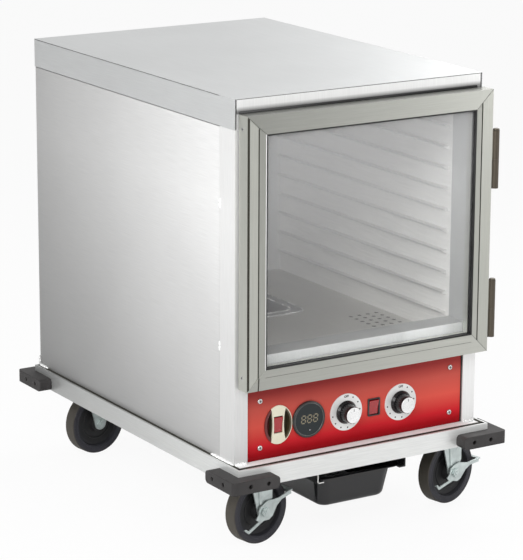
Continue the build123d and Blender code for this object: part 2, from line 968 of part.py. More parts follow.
# Door
def door_profile(width, grooved):
    """Section of a door member: from the outer edge inwards, and from the rear plane forwards."""
    front = door_thickness
    slot_front = door_rear - pane_front + glazing_leg
    slot_rear = door_rear - pane_rear - glazing_leg
    slot_depth = pane_engagement + glazing_leg
    groove = [
        (width * door_groove_end, front),
        (width * door_groove_end, front - door_groove_depth),
        (width * door_groove_start, front - door_groove_depth),
        (width * door_groove_start, front),
    ]
    outline = [
        (0, 0),
        (width, 0),
        (width, slot_rear),
        (width - slot_depth, slot_rear),
        (width - slot_depth, slot_front),
        (width, slot_front),
        (width, front + door_lip),
    ]
    return outline + (groove if grooved else []) + [(0, front)]


def door_hollow(width):
    """Outline of the hollow inside a door member."""
    deep = width - pane_engagement - glazing_leg - door_wall
    high = door_thickness - door_groove_depth - door_wall
    groove_room = edge_groove_depth + edge_groove_start
    front = high - groove_room
    return [(door_wall, door_wall), (deep, door_wall), (deep, front), (door_wall, front)]


def door_members():
    """Left and right stiles, top and bottom rails, mitred from corner to corner."""
    x0, x1, z0, z1 = door_left, door_right, door_bottom, door_top
    w0, w1, v0, v1 = window_left, window_right, window_bottom, window_top
    deep_y = door_rear + 1
    run = -(door_thickness + door_lip + 2)

    def mitre(points):
        return bar([(x, deep_y, z) for x, z in points], (0, run, 0))

    def member(width, grooved, place, length, cut):
        solid = bar([place(u, v) for u, v in door_profile(width, grooved)], length)
        hollow = bar([place(u, v) for u, v in door_hollow(width)], length)
        return (solid - hollow) & mitre(cut)

    up = (0, 0, z1 - z0)
    across = (x1 - x0, 0, 0)
    left = member(
        stile_width, True, lambda u, v: (x0 + u, door_rear - v, z0), up, [
            (x0, z0), (w0, v0), (w0, v1), (x0, z1)
        ]
    )
    right = member(
        stile_width, True, lambda u, v: (x1 - u, door_rear - v, z0), up, [
            (x1, z0), (w1, v0), (w1, v1), (x1, z1)
        ]
    )
    top = member(
        top_rail_width, False, lambda u, v: (x0, door_rear - v, z1 - u), across, [
            (x0, z1), (w0, v1), (w1, v1), (x1, z1)
        ]
    )
    bottom = member(
        bottom_rail_width, False, lambda u, v: (x0, door_rear - v, z0 + u), across, [
            (x0, z0), (w0, v0), (w1, v0), (x1, z0)
        ]
    )
    groove = block(
        x0 + edge_groove_start,
        x0 + edge_groove_start + edge_groove_width,
        door_front - 1,
        door_front + edge_groove_depth,
        z0 - 1,
        z1 + 1,
    )
    left -= groove
    for z in door_side_screw_heights():
        left -= rod_x(door_screw_radius / 2 + screw_gap, door_wall * 3, x0 - door_wall, door_screw_y, z)
    return left, right, top, bottom


door_screw_radius = 3.6
door_screw_head = 1
door_screw_end = 24
door_screw_y = (door_front + door_rear) / 2 + 1


def door_side_screw_heights():
    """Heights of the corner screws in the left stile's edge."""
    return (door_bottom + door_screw_end, door_top - door_screw_end)


def door_screws():
    """Countersunk corner screws in the left edge."""
    screws = []
    for z in door_side_screw_heights():
        shank = rod_x(door_screw_radius / 2, door_wall + 6, door_left, door_screw_y, z)
        head = rod_x(door_screw_radius, door_screw_head, door_left - door_screw_head, door_screw_y, z)
        screws.append(shank + head)
    return screws


def pane():
    """Clear window sheet held in the slots."""
    grip = pane_engagement
    return block(
        window_left - grip,
        window_right + grip,
        pane_front,
        pane_rear,
        window_bottom - grip,
        window_top + grip,
    )


def window_gasket():
    """Black glazing channel round the window sheet, with a bead that shows."""
    grip = pane_engagement + glazing_leg
    channel = block(
        window_left - grip,
        window_right + grip,
        pane_front - glazing_leg,
        pane_rear + glazing_leg,
        window_bottom - grip,
        window_top + grip,
    )
    channel += block(
        window_left, window_right, door_front - door_lip + 1, pane_front, window_bottom, window_top
    )
    mouth = block(
        window_left + glazing_bead,
        window_right - glazing_bead,
        door_front - 4 * door_lip,
        pane_rear + 4 * glazing_leg,
        window_bottom + glazing_bead,
        window_top - glazing_bead,
    )
    return channel - pane() - mouth


def door_seal():
    """Four strips of magnetic seal on the back of the door."""
    x0 = door_left + seal_inset
    x1 = half_body - (door_left_inset + seal_inset)
    z0 = sill_bottom + seal_rise
    z1 = door_top - seal_inset
    front = door_rear
    rear = body_front - touch_gap
    strips = [
        block(x0, x0 + seal_width, front, rear, z0, z1), block(x1 - seal_width, x1, front, rear, z0, z1)
    ]
    strips.append(block(x0 + seal_width, x1 - seal_width, front, rear, z0, z0 + seal_width))
    strips.append(block(x0 + seal_width, x1 - seal_width, front, rear, z1 - seal_width, z1))
    return strips


# Hinges
def knuckle(z0, z1, bore):
    """One hinge knuckle, with a bore where bore is a radius."""
    barrel = rod(barrel_radius, z1 - z0, barrel_x, barrel_y, z0)
    return barrel - rod(bore, 2 * (z1 - z0), barrel_x, barrel_y, z0 - (z1 - z0) / 2)


def leaf_screws(x, y0, y1, z0, z1):
    """Centres of a leaf's two screws, on its outer face."""
    y = (y0 + y1) / 2
    return [(x, y, z0 + leaf_screw_inset), (x, y, z1 - leaf_screw_inset)]


def hinge_parts():
    """Door leaves, body leaves, pins and screws of both hinges."""
    door_leaves = []
    body_leaves = []
    pins = []
    door_leaf_screws = []
    body_leaf_screws = []
    half = hinge_height / 2
    loose = hinge_pin_radius + running_gap
    for centre in hinge_centres:
        z0 = centre - half
        z1 = centre + half
        upper = knuckle(centre + touch_gap, z1, loose)
        leaf_x = door_right
        leaf = block(
            leaf_x, leaf_x + leaf_thickness, barrel_y - 2, barrel_y + leaf_width, centre + touch_gap, z1
        )
        neck = block(leaf_x, barrel_x, barrel_y - 2, barrel_y + 2, centre + touch_gap, z1)
        bore = rod(loose, hinge_height, barrel_x, barrel_y, centre - 1)
        door_leaf = upper + leaf + (neck - bore)
        places = leaf_screws(leaf_x + leaf_thickness, barrel_y + 4, barrel_y + leaf_width, centre, z1)
        for x, y, z in places:
            door_leaf_screws.append(rod_x(leaf_screw_radius, leaf_screw_height, x, y, z))
        door_leaves.append(door_leaf)

        lower = knuckle(z0, centre, hinge_pin_radius)
        far_x = door_right + leaf_clearance
        jog = body_front + 3
        stand = block(far_x, far_x + leaf_thickness, barrel_y - 2, jog, z0, centre)
        stand_neck = block(far_x, barrel_x, barrel_y - 2, barrel_y + 2, z0, centre)
        pin_bore = rod(hinge_pin_radius, hinge_height, barrel_x, barrel_y, z0 - 1)
        step = block(half_body, far_x + leaf_thickness, jog, jog + leaf_thickness, z0, centre)
        plate = block(half_body, half_body + leaf_thickness, jog, jog + body_leaf_width, z0, centre)
        body_leaf = lower + stand + (stand_neck - pin_bore) + step + plate
        places = leaf_screws(half_body + leaf_thickness, jog + 6, jog + body_leaf_width, z0, centre)
        for x, y, z in places:
            body_leaf_screws.append(rod_x(leaf_screw_radius, leaf_screw_height, x, y, z))
        body_leaves.append(body_leaf)

        pin = rod(hinge_pin_radius, hinge_height + touch_gap, barrel_x, barrel_y, z0)
        cap = rod(hinge_head_radius, hinge_head_height, barrel_x, barrel_y, z1 + touch_gap)
        cap = fillet(cap.edges().sort_by(Axis.Z)[-1], hinge_head_height * 0.6)
        pins.append(pin + cap)
    return door_leaves, body_leaves, pins, door_leaf_screws, body_leaf_screws


# Control panel
panel_screw_x = post_inner - panel_screw_side


def panel_screw_heights():
    """Heights of the panel's two rows of screws."""
    return (deck_top + panel_screw_low, deck_top + panel_screw_high)


def ellipse_plate(width, height, y0, y1, x):
    """An upright oval plate between two depths."""
    outline = Ellipse(width / 2, height / 2)
    solid = extrude(outline, y1 - y0)
    return Pos(x, y1, control_z) * Rot(90, 0, 0) * solid


def control_panel():
    """Painted panel with every opening for its controls."""
    edge = post_inner - panel_edge_gap
    panel = block(-edge, edge, panel_front, panel_rear, panel_bottom, panel_top)
    cuts = [
        ellipse_plate(
            guard_width - 2 * guard_lip,
            guard_height - 2 * guard_lip,
            panel_front - 1,
            panel_rear + 1,
            guard_x,
        )
    ]
    cuts.append(rod_y(thermometer_body_radius, 6, thermometer_x, panel_front - 2, control_z))
    for x in dial_x.values():
        cuts.append(rod_y(bushing_radius, 6, x, panel_front - 2, control_z))
    cutout = mode_bezel_flange - mode_cutout_gap
    half_w = mode_bezel_width / 2 - cutout
    half_h = mode_bezel_height / 2 - cutout
    cuts.append(
        block(
            mode_x - half_w,
            mode_x + half_w,
            panel_front - 2,
            panel_rear + 2,
            control_z - half_h,
            control_z + half_h,
        )
    )
    for sign in (-1, 1):
        for z in panel_screw_heights():
            cuts.append(
                rod_y(panel_screw_radius / 2 + screw_gap, 6, sign * panel_screw_x, panel_front - 2, z)
            )
    for cut in cuts:
        panel -= cut
    return panel


def panel_screws():
    """Domed screws at the panel's corners."""
    screws = []
    for sign in (-1, 1):
        for z in panel_screw_heights():
            x = sign * panel_screw_x
            head = rod_y(panel_screw_radius, 2.6, x, panel_front - 2.6, z)
            head = fillet(head.edges().sort_by(Axis.Y)[0], 1.6)
            reach = panel_thickness + panel_bracket_thickness + 4
            screws.append(head + rod_y(panel_screw_radius / 2, reach, x, panel_front, z))
    return screws


def hourglass(y0, y1):
    """The bridge over the power switch: wide at its ends and narrow at its waist."""
    half_h = guard_height / 2
    end = guard_end_width / 2
    waist = guard_waist_width / 2
    right = ThreePointArc((end, half_h), (waist, 0), (end, -half_h))
    low = Line((end, -half_h), (-end, -half_h))
    left = ThreePointArc((-end, -half_h), (-waist, 0), (-end, half_h))
    high = Line((-end, half_h), (end, half_h))
    solid = extrude(make_face([right, low, left, high]), y1 - y0)
    return Pos(guard_x, y1, control_z) * Rot(90, 0, 0) * solid


def rocker_pocket(x, width, height, y0, y1):
    """The hole that a rocker turns in."""
    half_w = width / 2 + 0.8
    half_h = height / 2 + 1.6
    return block(x - half_w, x + half_w, y0, y1, control_z - half_h, control_z + half_h)


def rocker(x, width, height, face_y):
    """A rocker with a hollow front face and a rounded back, tipped about its pivot."""
    pivot_y = rocker_depth * 0.6
    tip = height / 2
    front = ThreePointArc((0, tip), (0.9, 0), (0, -tip))
    down = Line((0, -tip), (rocker_depth * 0.4, -tip))
    back = ThreePointArc(
        (rocker_depth * 0.4, -tip), (rocker_depth + 1, 0), (rocker_depth * 0.4, tip)
    )
    up = Line((rocker_depth * 0.4, tip), (0, tip))
    face = make_face([front, down, back, up])
    solid = extrude(face, width / 2, both=True)
    upright = Plane(origin=(0, 0, 0), x_dir=(0, 1, 0), z_dir=(1, 0, 0)) * solid
    pins = rod_x(rocker_pivot_radius, width + 1.2, -(width + 1.2) / 2, pivot_y, 0)
    placed = Pos(0, pivot_y, 0) * Rot(rocker_tilt, 0, 0) * Pos(0, -pivot_y, 0) * (upright + pins)
    return Pos(x, face_y, control_z) * placed


def switch_guard():
    """Cream surround of the power switch: an oval dish with a bridge that carries the rocker."""
    lip_front = panel_front - guard_rise
    back = panel_front + guard_depth
    rim = ellipse_plate(guard_width, guard_height, lip_front, panel_front, guard_x)
    cup = ellipse_plate(
        guard_width - 2 * guard_lip - 0.4, guard_height - 2 * guard_lip - 0.4, panel_front, back, guard_x
    )
    inner = ellipse_plate(
        guard_width - 2 * guard_lip - 2 * guard_wall,
        guard_height - 2 * guard_lip - 2 * guard_wall,
        lip_front - 1,
        back - guard_wall,
        guard_x,
    )
    shell = rim + cup - inner
    oval = ellipse_plate(guard_width, guard_height, lip_front, back - guard_wall, guard_x)
    inside = ellipse_plate(
        guard_width - 2 * guard_lip - 1, guard_height - 2 * guard_lip - 1, lip_front, back, guard_x
    )
    bridge = hourglass(lip_front, back - guard_wall) & inside
    cover = hourglass(lip_front, panel_front) & oval
    whole = shell + bridge + cover
    hole = rocker_pocket(guard_x, power_rocker_width, power_rocker_height, lip_front - 2, back - guard_wall)
    return whole - hole - rocker_bore(guard_x, power_rocker_width, lip_front + 1)


def rocker_bore(x, width, face_y):
    """Bore for a rocker's pivot pins in the walls beside it."""
    length = width + 4
    y = face_y + rocker_depth * 0.6
    return rod_x(rocker_pivot_radius + running_gap, length, x - length / 2, y, control_z)


def mode_switch_bezel():
    """Frame and body of the small rocker switch."""
    lip_front = panel_front - mode_bezel_rise
    back = panel_front + mode_body_depth
    half_w = mode_bezel_width / 2
    half_h = mode_bezel_height / 2
    lip = block(
        mode_x - half_w, mode_x + half_w, lip_front, panel_front, control_z - half_h, control_z + half_h
    )
    lip = fillet(lip.edges().filter_by(Axis.Y), mode_bezel_corner)
    half_w -= mode_bezel_flange
    half_h -= mode_bezel_flange
    body = block(mode_x - half_w, mode_x + half_w, panel_front, back, control_z - half_h, control_z + half_h)
    hole = rocker_pocket(mode_x, mode_rocker_width, mode_rocker_height, lip_front - 2, panel_front + 12)
    return lip + body - hole - rocker_bore(mode_x, mode_rocker_width, lip_front + 0.6)


def thermometer_case():
    """Round black thermometer: a raised rim, a shallow well and the body behind the panel."""
    front = panel_front - thermometer_rise
    flange = rod_y(thermometer_radius, thermometer_rise, thermometer_x, front, control_z)
    flange = fillet(flange.edges().sort_by(Axis.Y)[0], 2)
    well = rod_y(
        thermometer_radius - thermometer_rim,
        thermometer_well + lens_thickness,
        thermometer_x,
        front,
        control_z,
    )
    body = rod_y(
        thermometer_body_radius - 0.4, thermometer_body_depth, thermometer_x, panel_front, control_z
    )
    return flange + body - well


def thermometer_lens():
    """Tinted lens in the thermometer's well."""
    front = panel_front - thermometer_rise + thermometer_well
    radius = thermometer_radius - thermometer_rim - 0.2
    return rod_y(radius, lens_thickness, thermometer_x, front, control_z)


def dial_plates():
    """Two round scale plates on the panel."""
    plates = []
    for x in dial_x.values():
        plate = rod_y(
            dial_plate_radius, dial_plate_thickness, x, panel_front - dial_plate_thickness, control_z
        )
        plates.append(plate - rod_y(bushing_radius, 20, x, panel_front - 10, control_z))
    return plates


def knob(x):
    """Knob with a wide skirt, a fluted grip and a flat front, on its shaft."""
    base = panel_front - dial_plate_thickness - knob_gap
    front = base - knob_height
    skirt_front = base - knob_skirt_height
    section = Polygon(
        (0, base),
        (knob_skirt_radius, base),
        (knob_skirt_radius, base - 1.5),
        (knob_grip_radius + 1.5, skirt_front),
        (knob_grip_radius, skirt_front),
        (knob_top_radius + 0.6, front + 1.5),
        (knob_top_radius, front),
        (0, front),
        align=None,
    )
    turned = revolve(section, axis=Axis.Y)
    for k in range(knob_flutes):
        angle = radians(360 * k / knob_flutes)
        reach = knob_grip_radius + 0.2
        turned -= rod_y(
            knob_flute_radius,
            knob_height - knob_skirt_height - 3,
            reach * cos(angle),
            front + 3,
            reach * sin(angle),
        )
    shaft_end = panel_rear + bushing_length
    shaft = rod_y(control_shaft_radius, shaft_end - base, 0, base, 0)
    return Pos(x, 0, control_z) * (turned + shaft)


def thermostats():
    """Two control bodies behind the panel, each with a threaded bushing through it."""
    bodies = []
    for x in dial_x.values():
        half = thermostat_side / 2
        body = block(
            x - half, x + half, panel_rear, panel_rear + thermostat_depth, control_z - half, control_z + half
        )
        front = panel_front - dial_plate_thickness
        bushing = rod_y(bushing_radius - 0.2, panel_rear - front, x, front, control_z)
        bore = rod_y(
            control_shaft_radius + running_gap, bushing_length + panel_rear - front + 1, x, front, control_z
        )
        bodies.append(body + bushing - bore)
    return bodies


# Heating, air circulation and wiring
fan_x = half_cavity - vent_side
fan_y = post_rear + vent_front
fan_top = floor_top - sheet - fan_drop
fan_low = fan_top - fan_height
motor_top = fan_low - 6
motor_low = motor_top - motor_height


def fan_wheel():
    """Centrifugal fan: a back plate, a hub and a ring of blades tied at the top."""
    plate = rod(fan_radius, 2, fan_x, fan_y, fan_low)
    hub = rod(fan_hub_radius, fan_height * 0.6, fan_x, fan_y, fan_low)
    ring = rod(fan_radius, 2, fan_x, fan_y, fan_top - 2)
    ring -= rod(fan_radius - fan_blade_depth, 6, fan_x, fan_y, fan_top - 4)
    wheel_shape = plate + hub + ring
    for k in range(fan_blades):
        blade = block(
            fan_radius - fan_blade_depth + fan_blade_inset,
            fan_radius - fan_blade_inset,
            -fan_blade_thickness / 2,
            fan_blade_thickness / 2,
            fan_low + 1,
            fan_top - 1,
        )
        wheel_shape += Pos(fan_x, fan_y, 0) * Rot(0, 0, 360 * k / fan_blades) * blade
    return wheel_shape - rod(motor_shaft_radius + running_gap, fan_height, fan_x, fan_y, fan_low - 1)


def blower_motor():
    """Motor on a plate that stands on the deck by four legs."""
    can = rod(motor_radius, motor_height, fan_x, fan_y, motor_low)
    can = fillet(can.edges().sort_by(Axis.Z)[-1], 4)
    shaft = rod(motor_shaft_radius, fan_low + fan_height * 0.5 - motor_top, fan_x, fan_y, motor_top)
    half = motor_plate_side / 2
    plate = block(fan_x - half, fan_x + half, fan_y - half, fan_y + half, motor_low - motor_plate, motor_low)
    motor = can + shaft + plate
    for sx, sy in corner_signs:
        xs = sorted((fan_x + sx * half, fan_x + sx * (half - motor_leg)))
        ys = sorted((fan_y + sy * half, fan_y + sy * (half - motor_leg)))
        motor += block(xs[0], xs[1], ys[0], ys[1], deck_top, motor_low - motor_plate)
    return motor


def element_path(x, y, z):
    """One tubular element: out of its plate, round a half turn and back."""
    half = element_span / 2
    out = Line((x - half, y, z), (x - half, y + element_length, z))
    turn = ThreePointArc(
        (x - half, y + element_length, z), (x, y + element_length + half, z), (
            x + half, y + element_length, z
        )
    )
    home = Line((x + half, y + element_length, z), (x + half, y, z))
    return Wire([out, turn, home])


def heating_elements():
    """Two U-shaped elements, one for the air and one under the water pan."""
    tubes = []
    for x, y, height in element_places.values():
        path = element_path(x, y - element_reach, deck_top + height)
        start = Plane(origin=path @ 0, z_dir=path % 0)
        tubes.append(sweep(start * Circle(element_radius), path=path))
    return tubes


def element_plates():
    """Angle brackets on the deck that hold the elements."""
    plates = []
    for x, y, height in element_places.values():
        half = element_plate_side / 2
        z = deck_top + height
        upright = block(
            x - half, x + half, y, y + element_plate_thickness, deck_top, z + 16
        )
        foot = block(
            x - half, x + half, y, y + 30, deck_top, deck_top + element_plate_thickness
        )
        plate = upright + foot
        for side in (-1, 1):
            plate -= rod_y(
                element_radius, 4 * element_plate_thickness, x + side * element_span / 2, y - 4, z
            )
        plates.append(plate)
    return plates


def terminal_block():
    """Terminal strip with its row of wells, on the deck near the inlet."""
    strip = block(
        terminal_x - terminal_length / 2,
        terminal_x + terminal_length / 2,
        terminal_y - terminal_width / 2,
        terminal_y + terminal_width / 2,
        deck_top,
        deck_top + terminal_height,
    )
    count = 6
    step = terminal_length / count
    for k in range(count):
        x = terminal_x - terminal_length / 2 + step * (k + 0.5)
        for side in (-1, 1):
            strip -= rod(
                step * 0.28, 8, x, terminal_y + side * terminal_width / 4, deck_top + terminal_height - 6
            )
    return strip


def power_inlet():
    """Flanged three-pin appliance inlet in the back panel."""
    z = deck_top + inlet_rise
    half_w = inlet_width / 2
    half_h = inlet_height / 2
    flange = block(
        inlet_x - half_w, inlet_x + half_w, body_rear, body_rear + inlet_plate, z - half_h, z + half_h
    )
    flange = fillet(flange.edges().filter_by(Axis.Y), 4)
    box = block(
        inlet_x - half_w + 5,
        inlet_x + half_w - 5,
        body_rear - inlet_depth,
        body_rear,
        z - half_h + 5,
        z + half_h - 5,
    )
    recess = block(
        inlet_x - inlet_recess_width / 2,
        inlet_x + inlet_recess_width / 2,
        body_rear - inlet_depth + 6,
        body_rear + inlet_plate + 1,
        z - inlet_recess_height / 2,
        z + inlet_recess_height / 2,
    )
    inlet = flange + box - recess
    for k in (-1, 0, 1):
        x = inlet_x + k * inlet_pin_pitch
        inlet += block(
            x - inlet_pin_width / 2,
            x + inlet_pin_width / 2,
            body_rear - inlet_depth + 5,
            body_rear - 4,
            z - inlet_pin_height / 2,
            z + inlet_pin_height / 2,
        )
    return inlet


# Gathering and writing every node
for corner_name in caster_places:
    has_brake = corner_name in lever_rest
    save(f"wheel_{corner_name}", seat(wheel(), corner_name))
    save(f"fork_{corner_name}", seat(fork(), corner_name), seat(axle(has_brake), corner_name))
    if has_brake:
        save(f"brake_lever_{corner_name}", seat(brake_lever(corner_name), corner_name))
save("caster_plates", [caster_plate(c) for c in caster_places])
save("caster_bolts", caster_bolts())
save("base_rails", base_rails())
save("base_deck", base_deck())
save("caster_channels", caster_channels())
save("corner_bumpers", [bumper(sx, sy) for sx, sy in corner_signs])
save("bumper_screws", bumper_screws())
save("left_side_panel", side_panel(-1))
save("right_side_panel", side_panel(1))
save("back_panel", back_panel())
save("top_cap", top_cap())
save("front_frame", front_frame())
save("side_liners", [side_liner(-1), side_liner(1)])
save("pan_ledges", pan_ledges())
save("floor_liner", floor_liner())
save("back_liner", back_liner())
save("top_liner", top_liner())
save("insulation", insulation())
save("water_pan", pan(water_pan_width, water_pan_flange, water_pan_y0, water_pan_y1, floor_top + pan_wall))
save("drip_pan", pan(pan_width, pan_flange, drip_pan_y0, drip_pan_y0 + pan_length, drip_pan_top))
save("drip_pan_runners", drip_pan_runners())

left_stile, right_stile, top_rail, bottom_rail = door_members()
save("door_stiles", left_stile, right_stile)
save("door_rails", top_rail, bottom_rail)
save("door_window", pane())
save("window_gasket", window_gasket())
save("door_seal", door_seal())

door_leaf_set, body_leaf_set, hinge_pin_set, door_leaf_screw_set, body_leaf_screw_set = hinge_parts()
save("hinge_door_leaves", door_leaf_set)
save("hinge_body_leaves", body_leaf_set)
save("hinge_pins", hinge_pin_set)
save("door_screws", door_screws(), door_leaf_screw_set)
save("hinge_screws", body_leaf_screw_set)

save("control_panel", control_panel())
save("panel_screws", panel_screws())
save("switch_guard", switch_guard())
save("power_rocker", rocker(guard_x, power_rocker_width, power_rocker_height, panel_front - guard_rise + 1))
save("mode_switch_bezel", mode_switch_bezel())
save(
    "mode_rocker", rocker(mode_x, mode_rocker_width, mode_rocker_height, panel_front - mode_bezel_rise + 0.6)
)
save("thermometer_case", thermometer_case())
save("thermometer_lens", thermometer_lens())
save("dial_plates", dial_plates())
save("heat_knob", knob(dial_x["heat"]))
save("humidity_knob", knob(dial_x["humidity"]))
save("thermostats", thermostats())

save("fan_wheel", fan_wheel())
save("blower_motor", blower_motor())
save("heating_elements", heating_elements())
save("element_plates", element_plates())
save("terminal_block", terminal_block())
save("power_inlet", power_inlet())
write_nodes()
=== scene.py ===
# %% [markdown]
# # A heated holding cabinet
# The cabinet comes in as a finished frame of solids that already fit and move. In this lesson Blender gives
# each of them its finish, and adds the small forms that a solid model leaves out: weld beads, screw
# recesses, dial marks, digits and the moulding of the tyres.
# Everything is in metres. X runs to the right, Y to the back and Z up, and the door faces -Y.

# %% Load the frame
import json
import math

import bmesh
import bpy
import numpy as np
from mathutils import Matrix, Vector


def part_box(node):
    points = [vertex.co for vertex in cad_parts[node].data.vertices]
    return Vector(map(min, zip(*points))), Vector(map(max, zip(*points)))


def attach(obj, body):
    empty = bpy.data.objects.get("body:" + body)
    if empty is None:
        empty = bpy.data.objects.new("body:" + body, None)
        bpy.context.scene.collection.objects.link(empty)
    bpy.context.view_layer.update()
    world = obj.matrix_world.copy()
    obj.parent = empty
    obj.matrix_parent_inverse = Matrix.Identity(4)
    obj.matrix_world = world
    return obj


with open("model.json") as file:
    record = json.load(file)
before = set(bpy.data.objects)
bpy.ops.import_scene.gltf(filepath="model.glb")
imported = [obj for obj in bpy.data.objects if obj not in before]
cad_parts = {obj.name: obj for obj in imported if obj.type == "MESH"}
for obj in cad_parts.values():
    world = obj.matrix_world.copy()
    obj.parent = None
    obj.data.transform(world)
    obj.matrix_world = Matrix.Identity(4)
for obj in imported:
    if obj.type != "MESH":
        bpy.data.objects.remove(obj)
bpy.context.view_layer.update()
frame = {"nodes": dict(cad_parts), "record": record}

nodes = frame["nodes"]

# %% [markdown]
# ## Shapes from arrays
# Each new piece is a surface worked out as one numpy array: a grid of points, rows by columns.
# Two grid neighbours make a face, so the faces come from index arithmetic and need no loop.
# Several grids can share a mesh, which keeps the nine dots of a dial in one object.

# %% Grid helpers
across = np.array([1.0, 0.0, 0.0])
upright = np.array([0.0, 0.0, 1.0])
forwards = np.array([0.0, -1.0, 0.0])


def grid_faces(rows, columns, first):
    """Quads of a rows x columns grid whose last column joins the first: corner (i, j) with
    (i, j+1), (i+1, j+1) and (i+1, j)."""
    i = np.arange(rows - 1)[:, None]
    j = np.arange(columns)[None, :]
    k = (j + 1) % columns
    corners = [i * columns + j, i * columns + k, (i + 1) * columns + k, (i + 1) * columns + j]
    return np.stack([c.ravel() for c in corners], axis=1) + first


def add_piece(name, mesh, finish, body):
    """An object with a finish, which rides on a body."""
    mesh.materials.append(finish)
    piece = bpy.data.objects.new(name, mesh)
    bpy.context.scene.collection.objects.link(piece)
    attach(piece, body)


def face_outwards(mesh):
    """Joins the points that fall together and turns every face of the closed shells outwards."""
    shell = bmesh.new()
    shell.from_mesh(mesh)
    bmesh.ops.remove_doubles(shell, verts=shell.verts, dist=1e-6)
    bmesh.ops.recalc_face_normals(shell, faces=shell.faces)
    shell.to_mesh(mesh)
    shell.free()


def make_piece(name, grids, finish, body, capped=False, smooth=True):
    """One mesh object from a list of (rows, columns, 3) arrays of points, in metres.
    With capped, one many-sided face closes each end of every grid."""
    points, faces, first = [], [], 0
    for grid in grids:
        rows, columns = grid.shape[:2]
        points.append(grid.reshape(-1, 3))
        faces.extend(grid_faces(rows, columns, first).tolist())
        if capped:
            ring = np.arange(columns) + first
            faces.append(ring[::-1].tolist())
            faces.append((ring + (rows - 1) * columns).tolist())
        first += rows * columns
    mesh = bpy.data.meshes.new(name)
    mesh.from_pydata(np.concatenate(points).tolist(), [], faces)
    mesh.polygons.foreach_set("use_smooth", np.full(len(mesh.polygons), smooth))
    mesh.validate()
    add_piece(name, mesh, finish, body)
    face_outwards(mesh)


def make_plates(name, plates, finish, body):
    """Flat plates as one mesh object, closed at both ends and with sharp edges."""
    make_piece(name, plates, finish, body, capped=True, smooth=False)


def circle(steps):
    """The cosines and sines of even steps round a circle."""
    t = np.linspace(0, 2 * np.pi, steps, endpoint=False)
    return np.cos(t), np.sin(t)


def turned(profile, steps, centre, axis, start=upright):
    """A profile of (distance along the axis, radius) pairs turned about the axis.
    Point (i, j) is centre + along_i * axis + radius_i * (cos t_j * u + sin t_j * v),
    with u and v square to the axis, and u square to the start direction too."""
    axis = np.asarray(axis, float) / np.linalg.norm(axis)
    u = np.cross(start, axis)
    u /= np.linalg.norm(u)
    v = np.cross(axis, u)
    cosines, sines = circle(steps)
    ring = cosines[:, None] * u + sines[:, None] * v
    along, radius = np.asarray(profile, float).T
    return np.asarray(centre, float) + along[:, None, None] * axis + radius[:, None, None] * ring


def raised_ring(radius, height, half_width, place, axis):
    """A ring of oval section about an axis: height sin t along it, at radius + half_width cos t."""
    t = np.linspace(0, 2 * np.pi, 13)
    profile = np.stack([height * np.sin(t), radius + half_width * np.cos(t)], axis=1)
    return turned(profile, 96, place, axis)


def rounded_outline(width, height, radius, steps):
    """A rectangle with round corners: four quarter circles joined by straight sides."""
    t = np.linspace(0, np.pi / 2, steps)
    arc = np.stack([np.cos(t), np.sin(t)], axis=1) * radius
    quarter = np.array([[0, 1], [-1, 0]])
    centres = np.array([[1, 1], [-1, 1], [-1, -1], [1, -1]]) * [width / 2 - radius, height / 2 - radius]
    arcs = [centres[k] + arc @ np.linalg.matrix_power(quarter, k) for k in range(4)]
    return np.concatenate(arcs)


def plate(width, height, corner, place, depth, u=across, v=upright, steps=3, round_edge=0.0):
    """A plate with round corners and its middle at a place: width along u, height along v and
    depth along u x v. A round_edge above 0 draws the last rows in, for a soft front edge."""
    outline = rounded_outline(width, height, corner, steps)
    size = np.abs(outline).max(axis=0)
    levels = [0.0, depth - round_edge, depth - 0.3 * round_edge, depth]
    insets = [0.0, 0.0, 0.3 * round_edge, round_edge]
    rows = []
    for level, inset in zip(levels, insets):
        shrunk = outline * (1 - inset / size)
        flat = shrunk[:, :1] * u + shrunk[:, 1:] * v
        rows.append(np.asarray(place, float) + flat + level * np.cross(u, v))
    return np.stack(rows)


# %% [markdown]
# ## Finishes as small node graphs
# A finish starts as a Principled shader with constant sockets. Noise on Object coordinates then
# shifts its colour, roughness and height, because no real sheet is one even colour. Stretching
# the noise along one axis turns it into the lines of a brushed sheet.


# %% Finish helpers
def new_finish(name, colour, roughness, metallic=0.0, specular=0.5, coat=0.0, coat_roughness=0.1):
    """A named material with its constant values set on the shader's own sockets."""
    material = bpy.data.materials.new(name)
    material.use_nodes = True
    shader = material.node_tree.nodes["Principled BSDF"]
    shader.inputs["Base Color"].default_value = (*colour, 1)
    shader.inputs["Roughness"].default_value = roughness
    shader.inputs["Metallic"].default_value = metallic
    shader.inputs["Specular IOR Level"].default_value = specular
    shader.inputs["Coat Weight"].default_value = coat
    shader.inputs["Coat Roughness"].default_value = coat_roughness
    return material


def new_node(holder, kind):
    """A new shader node in the tree of a material or a world."""
    return holder.node_tree.nodes.new(f"ShaderNode{kind}")


def link(holder, source, target):
    """Feeds one socket to another in the tree of a material or a world."""
    holder.node_tree.links.new(source, target)


def shader_of(material):
    """The material's Principled shader."""
    return material.node_tree.nodes["Principled BSDF"]


def object_coordinates(material, centre=(0, 0, 0), turn=0.0, stretch=(1, 1, 1)):
    """Object coordinates moved to a centre, turned about Z and stretched, as one vector."""
    place = new_node(material, "Mapping")
    place.vector_type = "TEXTURE"
    place.inputs["Location"].default_value = centre
    place.inputs["Rotation"].default_value = (0, 0, turn)
    place.inputs["Scale"].default_value = [1 / s for s in stretch]
    coordinates = new_node(material, "TexCoord").outputs["Object"]
    link(material, coordinates, place.inputs["Vector"])
    return place.outputs["Vector"]


def parts_of(material, vector):
    """The X, Y and Z of a vector, as three sockets."""
    split = new_node(material, "SeparateXYZ")
    link(material, vector, split.inputs[0])
    return split.outputs[:3]


